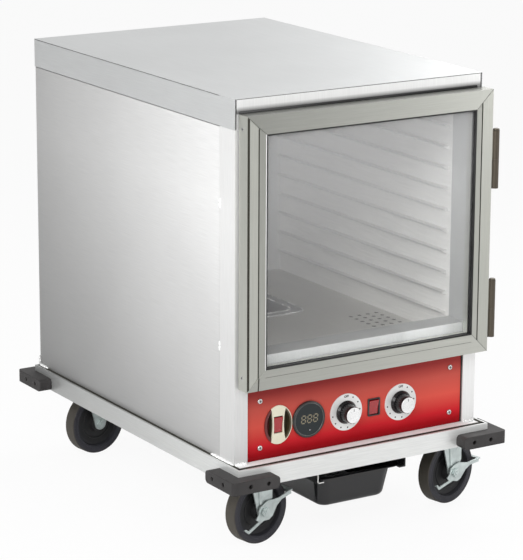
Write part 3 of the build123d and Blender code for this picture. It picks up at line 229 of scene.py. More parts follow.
def coordinate(material, axis):
    """One of the object coordinates in metres, picked by its letter."""
    return parts_of(material, object_coordinates(material))["XYZ".index(axis)]


def noise(material, vector, scale, detail=3.0, distortion=0.0):
    """Soft noise from 0 to 1 at so many bumps a metre."""
    node = new_node(material, "TexNoise")
    node.inputs["Scale"].default_value = scale
    node.inputs["Detail"].default_value = detail
    node.inputs["Distortion"].default_value = distortion
    link(material, vector, node.inputs["Vector"])
    return node.outputs["Fac"]


def arithmetic(material, kind, first, second=None, third=None, clamp=False):
    """One Math node between sockets or numbers."""
    node = new_node(material, "Math")
    node.operation = kind
    node.use_clamp = clamp
    for place, value in enumerate((first, second, third)):
        if value is None:
            continue
        if isinstance(value, (int, float)):
            node.inputs[place].default_value = value
        else:
            link(material, value, node.inputs[place])
    return node.outputs[0]


def spread(material, value, low_in, high_in, low_out, high_out):
    """Maps a value's range on to another, clamped at both ends."""
    node = new_node(material, "MapRange")
    numbers = dict(zip(("From Min", "From Max", "To Min", "To Max"), (low_in, high_in, low_out, high_out)))
    for socket, number in numbers.items():
        node.inputs[socket].default_value = number
    link(material, value, node.inputs["Value"])
    return node.outputs["Result"]


def mix_colours(material, amount, first, second, kind="MIX"):
    """Mixes two colours, each a socket or an (r, g, b)."""
    node = new_node(material, "Mix")
    node.data_type = "RGBA"
    node.blend_type = kind
    for socket, value in (("Factor", amount), ("A", first), ("B", second)):
        inputs = [i for i in node.inputs if i.name == socket and i.enabled]
        if isinstance(value, (int, float)):
            inputs[0].default_value = value
        elif isinstance(value, tuple):
            inputs[0].default_value = (*value, 1)
        else:
            link(material, value, inputs[0])
    return [o for o in node.outputs if o.enabled][0]


def set_colour(material, socket):
    """Feeds a colour to the shader."""
    link(material, socket, shader_of(material).inputs["Base Color"])


def colour_by(material, value, stops):
    """Colours the shader by a value, with a ramp whose stops are (position, (r, g, b))."""
    node = new_node(material, "ValToRGB")
    elements = node.color_ramp.elements
    for spare in range(len(stops) - 2):
        elements.new(0.5)
    for element, (position, colour) in zip(elements, sorted(stops)):
        element.position = position
        element.color = (*colour, 1)
    link(material, value, node.inputs["Fac"])
    set_colour(material, node.outputs["Color"])


def shade(material, amount):
    """Multiplies the colour by a grey amount, a socket that may pass 1."""
    grey = new_node(material, "CombineColor")
    for channel in range(3):
        link(material, amount, grey.inputs[channel])
    base = shader_of(material).inputs["Base Color"]
    now = base.links[0].from_socket if base.links else tuple(base.default_value[:3])
    set_colour(material, mix_colours(material, 1.0, now, grey.outputs[0], "MULTIPLY"))


def fade(material, axis, low_in, high_in, low_out, high_out):
    """Shades the colour along an axis, from one amount to another between two places."""
    shade(material, spread(material, coordinate(material, axis), low_in, high_in, low_out, high_out))


def set_roughness(material, socket):
    """Feeds a roughness to the shader."""
    link(material, socket, shader_of(material).inputs["Roughness"])


def set_bump(material, height, strength, distance):
    """Turns a height into bump on the shader, with distance in metres."""
    node = new_node(material, "Bump")
    node.inputs["Strength"].default_value = strength
    node.inputs["Distance"].default_value = distance
    link(material, height, node.inputs["Height"])
    link(material, node.outputs["Normal"], shader_of(material).inputs["Normal"])


def soften(material, radius):
    """Shades edges as if they were rounded to a radius, through the bump where there is one."""
    bevel = new_node(material, "Bevel")
    bevel.samples = 6
    bevel.inputs["Radius"].default_value = radius
    bumps = [node for node in material.node_tree.nodes if node.type == "BUMP"]
    target = bumps[0].inputs["Normal"] if bumps else shader_of(material).inputs["Normal"]
    link(material, bevel.outputs["Normal"], target)


def plain_shader(material, kind, colour, strength=None):
    """A shader of one colour, with a strength where it gives off light."""
    node = new_node(material, kind)
    node.inputs["Color"].default_value = (*colour, 1)
    if strength is not None:
        node.inputs["Strength"].default_value = strength
    return node.outputs[0]


def mix_shaders(material, amount, first, second):
    """The first shader where the amount is 0 and the second where it is 1."""
    node = new_node(material, "MixShader")
    if isinstance(amount, float):
        node.inputs["Fac"].default_value = amount
    else:
        link(material, amount, node.inputs["Fac"])
    link(material, first, node.inputs[1])
    link(material, second, node.inputs[2])
    return node.outputs["Shader"]


def rays(material, kind):
    """A socket that is 1 on one kind of ray and 0 on the others."""
    return new_node(material, "LightPath").outputs[f"Is {kind} Ray"]


def set_surface(material, socket):
    """Feeds a shader to the material's output."""
    output = material.node_tree.nodes["Material Output"]
    link(material, socket, output.inputs["Surface"])


def dress(finish, *names):
    """Gives CAD nodes a finish, and hands the finish back."""
    for name in names:
        slots = nodes[name].data.materials
        slots.clear()
        slots.append(finish)
    return finish


# %% [markdown]
# ## Satin sheet metal
# The skins are aluminium sheet with a fine lengthways grain. The grain is noise squeezed into
# long thin lines. It moves the roughness more than the colour, which is how brushing works on
# real metal. A second, broad noise gives the slow clouding of a large sheet.


# %% Sheet finishes
def sheet_finish(name, colour, roughness, metallic, stretch, cloud=0.035, grain=0.05, lines=900):
    """Brushed sheet: broad clouds in the colour, fine stretched lines in colour and roughness."""
    material = new_finish(name, colour, roughness, metallic)
    clouds = noise(material, object_coordinates(material), 3.1, 4)
    fine = noise(material, object_coordinates(material, stretch=stretch), lines, 2)
    wide = spread(material, clouds, 0.3, 0.7, 1 - cloud, 1 + cloud)
    thin = spread(material, fine, 0.25, 0.75, 1 - grain, 1 + grain)
    shade(material, arithmetic(material, "MULTIPLY", wide, thin))
    set_roughness(material, arithmetic(material, "MULTIPLY_ADD", fine, 0.16, roughness - 0.08))
    set_bump(material, fine, 0.10, 0.0002)
    return material


sheets = [
    ("side_sheet", (0.72, 0.725, 0.725), 0.42, 0.45, (1, 0.02, 1), "right_side_panel"),
    # The left side is the same sheet as the right side, painted lighter: painted light on the side that
    # faces the lamps.
    ("left_sheet", (0.82, 0.82, 0.815), 0.42, 0.35, (1, 0.02, 1), "left_side_panel"),
    ("top_sheet", (0.645, 0.655, 0.655), 0.40, 0.50, (1, 0.02, 1), "top_cap"),
    ("back_sheet", (0.66, 0.665, 0.665), 0.42, 0.55, (0.02, 1, 1), "back_panel"),
    ("post_sheet", (0.84, 0.84, 0.835), 0.40, 0.40, (1, 1, 0.02), "front_frame"),
    ("pan_sheet", (0.34, 0.33, 0.34), 0.50, 0.40, (1, 0.03, 1), "water_pan"),
    ("ledge_sheet", (0.68, 0.67, 0.655), 0.34, 0.60, (1, 0.02, 1), "pan_ledges"),
    ("deck_sheet", (0.86, 0.87, 0.87), 0.60, 0.0, (0.05, 1, 1), "base_deck"),
    ("under_metal", (0.50, 0.51, 0.51), 0.50, 0.60, (0.05, 1, 1), "caster_channels"),
]
finishes = {}
for name, colour, roughness, metallic, stretch, node in sheets:
    finishes[name] = dress(sheet_finish(name, colour, roughness, metallic, stretch), node)
liners = [
    ("liner_sheet", (0.84, 0.82, 0.80), 0.40, 0.20, (1, 0.03, 1), ("side_liners", "top_liner")),
    ("back_liner_sheet", (0.80, 0.80, 0.80), 0.40, 0.25, (1, 1, 0.03), ("back_liner",)),
    ("floor_sheet", (0.60, 0.585, 0.56), 0.38, 0.45, (1, 0.03, 1), ("floor_liner",)),
]
for name, colour, roughness, metallic, stretch, lined in liners:
    dress(sheet_finish(name, colour, roughness, metallic, stretch, 0.06, 0.08, 500), *lined)
rail_metal = sheet_finish("rail_metal", (0.72, 0.73, 0.72), 0.38, 0.50, (0.03, 0.03, 1), 0.04, 0.07)
dress(rail_metal, "base_rails")
print("sheet finishes:", len(sheets) + len(liners) + 1)

# %% [markdown]
# Light falls off along the long sheets, the folds inside the posts lie in shade, and the left
# post darkens towards its foot. Each of these is a fade of the colour between two places.

# %% Fades of the sheets
fade(finishes["left_sheet"], "Y", -0.30, 0.38, 1.0, 0.58)
fade(finishes["left_sheet"], "Z", 0.18, 0.66, 0.58, 1.08)
fade(rail_metal, "Y", -0.38, 0.40, 1.04, 0.52)
shader_of(finishes["deck_sheet"]).inputs["Specular IOR Level"].default_value = 0.2
post_sheet = finishes["post_sheet"]
post_low, post_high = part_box("front_frame")
post_x, post_y, post_z = (coordinate(post_sheet, axis) for axis in "XYZ")
from_middle = arithmetic(post_sheet, "ABSOLUTE", post_x)
inside = spread(post_sheet, from_middle, post_high[0] - 0.016, post_high[0] - 0.014, 1.0, 0.0)
behind = spread(post_sheet, post_y, post_low[1] + 0.0005, post_low[1] + 0.0030, 0.0, 1.0)
folded = arithmetic(post_sheet, "MULTIPLY", inside, behind)
shade(post_sheet, arithmetic(post_sheet, "MULTIPLY_ADD", folded, -0.42, 1.0))
lower = spread(post_sheet, post_z, 0.18, 0.62, 0.74, 1.0)
right_half = spread(post_sheet, post_x, 0.0, 0.1, 0.0, 1.0)
shade(post_sheet, arithmetic(post_sheet, "MAXIMUM", lower, right_half))
print("width over the posts:", round(post_high[0] - post_low[0], 3), "m")

# %% [markdown]
# ## The anodised door frame
# The frame of the door is an extrusion with a warm, greenish grey anodised skin. Its lines run
# along each member, so the stiles and the rails need their own grain direction.

# %% Door finishes
stile_metal = sheet_finish("stile_metal", (0.455, 0.46, 0.42), 0.34, 0.55, (1, 1, 0.015), 0.03, 0.06)
# The rails are a touch darker than the stiles: painted shade.
rail_of_door = sheet_finish("rail_of_door", (0.43, 0.435, 0.40), 0.34, 0.55, (0.015, 1, 1), 0.03, 0.06)
# Painted shade: the hinge steel is coloured dark brown, as it looks in shadow and reflection.
hinge_metal = sheet_finish("hinge_metal", (0.105, 0.09, 0.07), 0.36, 0.80, (1, 1, 0.05), 0.06, 0.06)
screw_metal = sheet_finish("screw_metal", (0.60, 0.60, 0.59), 0.26, 0.90, (1, 1, 1), 0.05, 0.05, 2500)
dress(stile_metal, "door_stiles")
dress(rail_of_door, "door_rails")
dress(hinge_metal, "hinge_door_leaves", "hinge_body_leaves", "hinge_pins")
dress(screw_metal, "hinge_screws", "door_screws", "panel_screws", "bumper_screws")

# Painted shade: the left stile is darker from its bead to the window, where its slope faces away from the
# light.
bead_inset = 0.0256
bead_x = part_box("door_stiles")[0][0] + bead_inset
stile_x = coordinate(stile_metal, "X")
turned_away = spread(stile_metal, stile_x, bead_x - 0.0003, bead_x, 1.0, 0.76)
right_stile = spread(stile_metal, stile_x, 0.0, 0.1, 0.0, 1.0)
shade(stile_metal, arithmetic(stile_metal, "MAXIMUM", turned_away, right_stile))
# Painted light and shade: the rails darken towards the left and lighten towards the right, and the top rail
# is darker still.
fade(rail_of_door, "X", -0.27, 0.24, 0.84, 1.16)
fade(rail_of_door, "Z", 0.55, 0.60, 1.0, 0.74)
print("left bead at x:", round(bead_x, 4), "m")

# %% [markdown]
# ## Clear window and black rubber
# The window is a clear plastic or glass sheet. Light has to come through it to show the inside,
# and a refracting sheet would throw a dark shadow, so shadow rays meet plain transparency.
# A pale veil stands partly for the milkiness of handled plastic and partly for a painted reflection of the
# bright room, which lightens the view of the inside; it grows towards the top.

# %% Window, gasket and seal
window_clear = dress(new_finish("window_clear", (0.97, 0.98, 0.98), 0.03), "door_window")
glass = shader_of(window_clear)
glass.inputs["Transmission Weight"].default_value = 1.0
glass.inputs["IOR"].default_value = 1.45
clear = plain_shader(window_clear, "BsdfTransparent", (0.95, 0.96, 0.96))
veil = plain_shader(window_clear, "BsdfDiffuse", (0.80, 0.80, 0.81))
window_x, window_z = coordinate(window_clear, "X"), coordinate(window_clear, "Z")
diagonal = arithmetic(window_clear, "MULTIPLY_ADD", window_x, 0.15, window_z)
haze_and_reflection = spread(window_clear, diagonal, 0.42, 0.80, 0.025, 0.22)
veiled = mix_shaders(window_clear, haze_and_reflection, glass.outputs["BSDF"], veil)
set_surface(window_clear, mix_shaders(window_clear, rays(window_clear, "Shadow"), veiled, clear))


def rubber_finish(name, colour, roughness, grains=1400, strength=0.25):
    """Matt rubber: a fine pimpled bump and a faint dusty lift of the colour."""
    material = new_finish(name, colour, roughness, specular=0.35)
    vector = object_coordinates(material)
    fine = noise(material, vector, grains, 2)
    dust = noise(material, vector, 14, 5)
    pale = tuple(min(1.0, c * 1.5 + 0.012) for c in colour)
    colour_by(material, dust, [(0.35, colour), (0.75, pale)])
    set_roughness(material, spread(material, dust, 0.3, 0.7, roughness - 0.08, roughness + 0.08))
    set_bump(material, fine, strength, 0.0003)
    return material


gasket_and_shade_black = rubber_finish("gasket_and_shade_black", (0.012, 0.012, 0.012), 0.45)
bumper_rubber = rubber_finish("bumper_rubber", (0.026, 0.024, 0.024), 0.55, 900, 0.35)
soften(bumper_rubber, 0.0028)
dress(gasket_and_shade_black, "window_gasket")
dress(bumper_rubber, "corner_bumpers")
dress(rubber_finish("seal_rubber", (0.05, 0.05, 0.05), 0.6), "door_seal")
print("finishes so far:", len(bpy.data.materials))

# %% [markdown]
# ## Paint, plastics and enamel
# The panel is baked red paint with a soft sheen and a little orange peel. The drip pan is black
# enamel. The switches and knobs are moulded plastic, with sharp speckle from the mould.


# %% Painted and moulded finishes
def moulded_finish(
    name, colour, roughness, coat=0.0, grains=900, strength=0.06, metallic=0.0, specular=0.5
):
    """Paint or plastic: slow colour drift, a fine surface texture and an optional clear coat."""
    material = new_finish(name, colour, roughness, metallic, specular, coat, 0.12)
    vector = object_coordinates(material)
    drift = noise(material, vector, 9, 3)
    peel = noise(material, vector, grains, 2)
    low = tuple(c * 0.90 for c in colour)
    high = tuple(min(1.0, c * 1.08) for c in colour)
    colour_by(material, drift, [(0.3, low), (0.7, high)])
    set_roughness(material, spread(material, peel, 0.3, 0.7, roughness - 0.05, roughness + 0.05))
    set_bump(material, peel, strength, 0.0004)
    return material


knobs = ("heat_knob", "humidity_knob")
black_parts = ("mode_switch_bezel", "thermometer_case", "thermostats", "terminal_block", "power_inlet")
dress(moulded_finish("knob_black", (0.010, 0.010, 0.011), 0.24, 0.2, specular=0.3), *knobs)
dress(moulded_finish("bezel_black", (0.02, 0.02, 0.02), 0.32, 0.2), *black_parts)
dress(moulded_finish("rocker_red", (0.36, 0.012, 0.016), 0.22, 0.5), "power_rocker", "mode_rocker")
dress(moulded_finish("dial_silver", (0.80, 0.80, 0.79), 0.42, 0.1, 1500, 0.04, 0.25), "dial_plates")
dress(moulded_finish("enamel_black", (0.010, 0.010, 0.011), 0.16, 0.3, 260, 0.03), "drip_pan")
dress(moulded_finish("runner_black", (0.02, 0.02, 0.021), 0.30, 0.3), "drip_pan_runners")
dress(moulded_finish("motor_grey", (0.16, 0.165, 0.17), 0.45), "blower_motor")
dress(moulded_finish("wool_yellow", (0.62, 0.55, 0.30), 0.9, 0.0, 300, 0.6), "insulation")
lens_smoke = moulded_finish("lens_smoke", (0.012, 0.018, 0.020), 0.12, 0.1, 400, 0.01, specular=0.3)
dress(lens_smoke, "thermometer_lens")


def panel_finish(name, bottom, top):
    """Baked red paint, coloured with painted reflection: deep at the bottom edge, clear red in the middle
    and dull towards the top, because each height of the sheet mirrors another part of the room. A fade
    along X paints it darker at the left and lighter at the right, also painted reflection."""
    material = moulded_finish(name, (0.5, 0.02, 0.03), 0.36, 0.0, 700, specular=0.08)
    share = spread(material, coordinate(material, "Z"), bottom, top, 0.0, 1.0)
    waver = noise(material, object_coordinates(material, stretch=(0.4, 1, 1)), 8, 3)
    share = arithmetic(material, "MULTIPLY_ADD", waver, 0.06, arithmetic(material, "SUBTRACT", share, 0.03))
    reds = [
        (0.0, (0.22, 0.003, 0.006)), (0.07, (0.33, 0.003, 0.008)), (0.17, (0.54, 0.014, 0.022)),
        (0.40, (0.62, 0.085, 0.062)), (0.62, (0.48, 0.080, 0.062)), (0.80, (0.31, 0.036, 0.034)),
        (1.0, (0.27, 0.034, 0.032)),
    ]
    colour_by(material, share, reds)
    fade(material, "X", -0.20, 0.23, 0.95, 1.18)
    return material


def guard_finish(name, low, high):
    """Cream moulding with painted shade: it darkens with depth behind its face and beside its waisted
    bridge, whose half width is 11.5 + 5.5 (z / half height)^2 mm, and the open rim on the left is painted a
    dark red shade. A thin cream line is left at the right edge, where (x / half width)^2 + (z / half
    height)^2 passes from 0.90 to 0.93."""
    material = moulded_finish(name, (0.74, 0.71, 0.56), 0.38, 0.15)
    cream = shader_of(material).inputs["Base Color"].links[0].from_socket
    half_width, half_height, face = (high[0] - low[0]) / 2, (high[2] - low[2]) / 2, low[1] + 0.002
    centre = ((low[0] + high[0]) / 2, 0, (low[2] + high[2]) / 2)
    local = object_coordinates(material, centre, 0, (1 / half_width, 1, 1 / half_height))
    x, y, z = parts_of(material, local)
    high_square = arithmetic(material, "MULTIPLY", z, z)
    reach = arithmetic(material, "MULTIPLY_ADD", x, x, high_square)
    far = arithmetic(material, "MULTIPLY", arithmetic(material, "ABSOLUTE", x), half_width)
    from_bridge = arithmetic(material, "MULTIPLY_ADD", high_square, -0.0055, far)
    open_rim = spread(material, from_bridge, 0.0115, 0.0120, 0.0, 1.0)
    left = spread(material, x, -0.1, 0.1, 1.0, 0.0)
    right = spread(material, x, -0.1, 0.1, 0.0, 1.0)
    inner = arithmetic(material, "MULTIPLY", right, spread(material, reach, 0.90, 0.93, 1.0, 0.0))
    deep = spread(material, y, face + 0.0004, face + 0.0024, 0.0, 1.0)
    shaded = arithmetic(material, "MAXIMUM", arithmetic(material, "MULTIPLY", open_rim, inner), deep)
    colour = mix_colours(material, shaded, cream, (0.060, 0.048, 0.022))
    left_shade = arithmetic(material, "MULTIPLY", open_rim, left)
    set_colour(material, mix_colours(material, left_shade, colour, (0.10, 0.010, 0.010)))
    return material


red_low, red_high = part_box("control_panel")
guard_low, guard_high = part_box("switch_guard")
dress(panel_finish("panel_red", red_low[2], red_high[2]), "control_panel")
dress(guard_finish("guard_cream", guard_low, guard_high), "switch_guard")
print("panel height:", round(red_high[2] - red_low[2], 3), "m")

# %% [markdown]
# ## Zinc plate
# The casters' stampings are bright zinc: bluish grey, mottled where the plating took unevenly,
# and shinier on the high spots.


# %% Zinc and steel finishes
def zinc_finish(name, colour, roughness, metallic=0.75):
    """Zinc plate: blotches between a light and a dark grey, with a faint grainy bump."""
    material = new_finish(name, colour, roughness, metallic)
    vector = object_coordinates(material)
    blotch = noise(material, vector, 45, 5, 0.4)
    grain = noise(material, vector, 700, 2)
    dark = tuple(c * 0.80 for c in colour)
    pale = tuple(min(1.0, c * 1.12) for c in colour)
    colour_by(material, blotch, [(0.32, dark), (0.68, pale)])
    set_roughness(material, spread(material, blotch, 0.3, 0.7, roughness - 0.08, roughness + 0.10))
    set_bump(material, grain, 0.12, 0.0003)
    return material


corners = ("front_left", "front_right", "rear_left", "rear_right")
zinc_plate = zinc_finish("zinc_plate", (0.56, 0.62, 0.61), 0.34)
soften(zinc_plate, 0.0008)
dress(zinc_plate, "caster_plates", "brake_lever_front_left", "brake_lever_front_right")
dress(zinc_plate, *(f"fork_{corner}" for corner in corners))
dress(zinc_finish("bolt_zinc", (0.60, 0.64, 0.62), 0.28), "caster_bolts")
element_steel = zinc_finish("element_steel", (0.24, 0.22, 0.20), 0.45)
dress(element_steel, "heating_elements", "element_plates", "fan_wheel")
print("finishes:", len(bpy.data.materials))

# %% [markdown]
# ## Small forms on the control panel
# The solids carry the switches and the knobs. What makes them look used and real is small: a
# bright cap on each knob, printed marks round it, digits behind the smoked lens, and the cross
# in each screw. Each is a thin surface set a fraction of a millimetre in front of what carries
# it, so that the two never fight for the same place.


# %% Places on the frame
def span(node):
    """A node's lowest and highest corners."""
    low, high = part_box(node)
    return np.array(low, float), np.array(high, float)


def middle_of(node):
    """The middle of a node's box."""
    low, high = span(node)
    return (low + high) / 2


def front_of(node):
    """The middle of the front of a node's box."""
    middle = middle_of(node)
    middle[1] = span(node)[0][1]
    return middle


silver_and_highlight = moulded_finish("silver_and_highlight", (0.88, 0.88, 0.88), 0.30, 0.3, 1200, 0.03, 0.35)
print_and_shade_black = moulded_finish("print_and_shade_black", (0.02, 0.02, 0.02), 0.5)
digit_olive = moulded_finish("digit_olive", (0.24, 0.21, 0.14), 0.5)
led_white = moulded_finish("led_white", (0.75, 0.75, 0.80), 0.3)
lens_edge = moulded_finish("lens_edge", (0.10, 0.105, 0.10), 0.16, 0.6)

# %% Knob caps and their pointers
cap_profile = [(0.0, 0.0), (0.0, 0.0150), (0.0008, 0.0152), (0.0014, 0.0147), (0.0016, 0.0138)]
cap_profile += [(0.0013, 0.0130), (0.0013, 0.0060), (0.0014, 0.0)]
for knob in knobs:
    face = front_of(knob)
    cap = turned(cap_profile, 64, face, forwards)
    make_piece(f"{knob}_cap", [cap], silver_and_highlight, f"{knob}_body")
    pointer_place = face + forwards * 0.0011 + upright * 0.0100
    pointer = plate(0.0009, 0.0050, 0.0004, pointer_place, 0.0004, steps=4)
    make_plates(f"{knob}_pointer", [pointer], print_and_shade_black, f"{knob}_body")
print("knob caps:", len(knobs))


# %% Marks on the dials
def dot(place, radius, height):
    """A low round dot: a disc of a radius that rises to a height in front of its place."""
    profile = [(0, 0), (0, radius), (height * 0.7, radius), (height, radius * 0.8), (height, 0)]
    return turned(profile, 16, place, forwards)


def lettering(name, words, size, place, finish, body):
    """Flat letters in the panel's plane, made a mesh: x runs along X, y along Z, depth along -Y."""
    curve = bpy.data.curves.new(name, "FONT")
    curve.body = words
    curve.size = size
    curve.align_x = "CENTER"
    curve.align_y = "CENTER"
    curve.extrude = size * 0.01
    curve.offset = size * 0.035
    curve.resolution_u = 4
    writer = bpy.data.objects.new(f"{name}_curve", curve)
    bpy.context.scene.collection.objects.link(writer)
    bpy.context.view_layer.update()
    mesh = bpy.data.meshes.new_from_object(writer)
    bpy.data.objects.remove(writer)
    mesh.name = name
    points = np.empty(len(mesh.vertices) * 3)
    mesh.vertices.foreach_get("co", points)
    x, y, z = points.reshape(-1, 3).T
    placed = place + x[:, None] * across + y[:, None] * upright + z[:, None] * forwards
    mesh.vertices.foreach_set("co", placed.ravel())
    mesh.materials.clear()
    add_piece(name, mesh, finish, body)


dial_front = span("dial_plates")[0][1]
mark_ring = 0.0300
mark_angles = np.radians(29 + 28.9 * np.arange(9))
for knob in knobs:
    centre = middle_of(knob)
    centre[1] = dial_front
    dots = [
        dot(centre + mark_ring * (math.sin(a) * across + math.cos(a) * upright), 0.0015, 0.0002)
        for a in mark_angles
    ]
    make_piece(f"{knob}_marks", dots, print_and_shade_black, "cabinet")
    top_mark = centre + forwards * 0.0001 + upright * (mark_ring - 0.0002)
    lettering(f"{knob}_off", "OFF", 0.0058, top_mark, print_and_shade_black, "cabinet")
print("dial marks:", len(knobs) * len(mark_angles))


# %% Digits behind the lens
def segment_digit(middle_x, half_width, half_height, stroke, origin, lean):
    """The seven bars of one digit. A bar's height above the middle shifts it by lean to the right."""
    wide, tall = (2 * half_width - stroke, stroke), (stroke, half_height - stroke)
    bars = [(0, half_height, wide), (0, 0, wide), (0, -half_height, wide)]
    bars += [(sx * half_width, sz * half_height / 2, tall) for sx in (-1, 1) for sz in (-1, 1)]
    slant = upright + lean * across
    return [
        plate(*size, stroke * 0.45, origin + (middle_x + x) * across + z * slant, 0.00015, v=slant)
        for x, z, size in bars
    ]


lens_face = front_of("thermometer_lens")
digit_origin = lens_face + forwards * 0.00003 + across * 0.001 + upright * 0.001
digit_pitch = 0.0130
digit_bars = []
for digit in (-1, 0, 1):
    digit_bars += segment_digit(digit * digit_pitch, 0.0042, 0.0070, 0.0021, digit_origin, 0.10)
make_plates("thermometer_digits", digit_bars, digit_olive, "cabinet")
lamp_dot = dot(lens_face + across * 0.0018 - upright * 0.0205, 0.0009, 0.0003)
make_piece("thermometer_lamp", [lamp_dot], led_white, "cabinet")
edge_ring = raised_ring(0.0306, 0.0009, 0.0007, lens_face + forwards * 0.0004, forwards)
make_piece("thermometer_ring", [edge_ring], lens_edge, "cabinet")
print("digit bars:", len(digit_bars))


# %% Crosses in the screws
def make_crosses(name, places, out, side, size, body):
    """Two crossed dark bars at each place: painted shade in the cross recess of a screw facing along out.
    """
    up = np.cross(out, side)
    bars = []
    for place in places:
        for u, v in ((side, up), (up, -side)):
            bars.append(plate(size, size * 0.24, size * 0.08, place, 0.00012, u, v))
    make_plates(name, bars, print_and_shade_black, body)
    print("crosses:", len(places))


clearance = 0.00002
screw_low, screw_high = span("panel_screws")
screw_radius = 0.005
screw_x = (screw_low[0] + screw_radius, screw_high[0] - screw_radius)
screw_z = (screw_low[2] + screw_radius, screw_high[2] - screw_radius)
screw_places = [(x, screw_low[1] - clearance, z) for x in screw_x for z in screw_z]
make_crosses("panel_screw_crosses", screw_places, forwards, across, 0.0052, "cabinet")

# %% [markdown]
# The panel lies a little behind the posts. At its right edge a narrow black strip is painted shadow, the
# shaded wall of the post beside the sunk panel. A plate of the right width is all that it needs.

# %% Strip at the panel's edge
sheet_low, sheet_high = span("control_panel")
strip_width = 0.0022
strip_place = (sheet_high[0] - strip_width / 2, sheet_low[1], (sheet_low[2] + sheet_high[2]) / 2)
strip = plate(strip_width, sheet_high[2] - sheet_low[2] - 0.001, 0.0004, strip_place, 0.0006)
make_plates("panel_edge_shadow", [strip], gasket_and_shade_black, "cabinet")
print("edge strip:", strip_width)

# %% [markdown]
# ## Weld beads
# The posts stand on the base in short runs of bright weld. A bead is a row of overlapping
# ripples, so its radius swells and sinks along the run, and it thins out at both ends.


# %% Weld beads
def weld_bead(start, end, radius, pitch=0.0052, columns=10):
    """A bead from start to end. At distance s its radius is
    r * (0.62 + 0.38 |sin(pi s / pitch)|) * (1 - |2 s / length - 1|^6), and it wanders a little."""
    start, end = np.asarray(start, float), np.asarray(end, float)
    length = np.linalg.norm(end - start)
    way = (end - start) / length
    s = np.linspace(0, length, max(24, int(length / pitch * 8)))
    swell = 0.62 + 0.38 * np.abs(np.sin(np.pi * s / pitch))
    ends = np.clip(1 - np.abs(2 * s / length - 1) ** 6, 0.03, 1)
    size = radius * swell * ends
    side = np.cross(way, upright) if abs(way[2]) < 0.9 else across
    side = side / np.linalg.norm(side)
    rise = np.cross(side, way)
    wander = 0.18 * radius * np.sin(s * 610 + 1.3)
    cosines, sines = circle(columns)
    ring = cosines[:, None] * side + sines[:, None] * rise
    middle = start + s[:, None] * way + wander[:, None] * side
    return middle[:, None] + size[:, None, None] * ring


weld_bright = zinc_finish("weld_bright", (0.90, 0.90, 0.89), 0.30, 0.4)
body_low, body_high = span("front_frame")
front_y, rear_y = body_low[1], span("back_panel")[1][1]
foot_z = body_low[2] + 0.0008
out, post_width, front_run, rear_run, rise = 0.0014, 0.0275, 0.082, 0.034, 0.020
welds = []
for side_x, way in ((body_low[0], -1), (body_high[0], 1)):
    x = side_x + way * out
    first_x, last_x = sorted((side_x, side_x - way * post_width))
    welds += [
        weld_bead((x, front_y, foot_z), (x, front_y + front_run, foot_z), 0.0040),
        weld_bead((first_x, front_y - out, foot_z), (last_x, front_y - out, foot_z), 0.0037),
        weld_bead((x, rear_y - rear_run, foot_z), (x, rear_y, foot_z), 0.0040),
        weld_bead((x, rear_y, foot_z), (x, rear_y, foot_z + rise), 0.0024),
    ]
seam_inset, tack_heights = 0.0513, (0.378, 0.640)
seam_x, seam_y = body_low[0] - 0.0002, front_y + seam_inset
for height in tack_heights:
    welds.append(weld_bead((seam_x, seam_y, height), (seam_x, seam_y, height + rise), 0.0022))
make_piece("weld_beads", welds, weld_bright, "cabinet", capped=True)
print("weld beads:", len(welds))

# %% [markdown]
# ## Cut edges and mitres
# Two thin lines tell how the sheet was made: the sawn end of the black pan runner shows bare
# metal, and the door frame's corners meet on the diagonal in a fine dark joint.

# %% Runner end
bare_metal = zinc_finish("bare_metal", (0.82, 0.82, 0.80), 0.3)
runner_from_middle = 0.098
runner_x = middle_of("drip_pan")[0] - runner_from_middle
cut_y, lip_z = span("drip_pan_runners")[0][1:]
bar, sharp = 0.0021, 0.0003
cut_ends = [
    plate(bar, 0.0300, sharp, (runner_x + 0.001, cut_y, lip_z + 0.015), 0.0003),
    plate(0.0140, bar, sharp, (runner_x + 0.007, cut_y, lip_z + 0.001), 0.0003),
]
make_plates("runner_cut_end", cut_ends, bare_metal, "cabinet")
print("cut ends:", len(cut_ends))

# %% Door mitres, grooves and joints
door_low, door_high = span("door_stiles")
bevel = 0.003
outer_y, inner_y = door_low[1] + bevel, door_low[1]
window_low, window_high = span("window_gasket")
grip = 0.0095
inner_low, inner_high = window_low + grip, window_high - grip
joint_dark = moulded_finish("joint_dark", (0.10, 0.10, 0.09), 0.6)
painted_shade_dark = moulded_finish("painted_shade_dark", (0.022, 0.020, 0.013), 0.8)
fine, joint_width, joint_depth = 0.0002, 0.0006, 0.00025
joint_lines = []
for outer_x, inner_x, outer_z, inner_z in (
    (door_low[0], inner_low[0], door_high[2], inner_high[2]),
    (door_high[0], inner_high[0], door_high[2], inner_high[2]),
    (door_high[0], inner_high[0], door_low[2], inner_low[2]),
):
    start, end = np.array([outer_x, outer_y, outer_z]), np.array([inner_x, inner_y, inner_z])
    length = np.linalg.norm(end - start)
    way = (end - start) / length
    side = np.cross(way, forwards)
    side /= np.linalg.norm(side)
    middle = (start + end) / 2
    joint_lines.append(plate(length * 0.97, joint_width, fine, middle, joint_depth, way, -side))
rail_depth = inner_low[2] - door_low[2]
slope = upright + forwards * bevel / rail_depth
step_place = np.array([(inner_low[0] + inner_high[0]) / 2, outer_y, door_low[2]])
step_share = 0.62
step_place += step_share * rail_depth * slope
joint_lines.append(plate(inner_high[0] - inner_low[0], 0.0007, fine, step_place, 0.00015, v=slope))
make_plates("door_mitre_lines", joint_lines, joint_dark, "door")

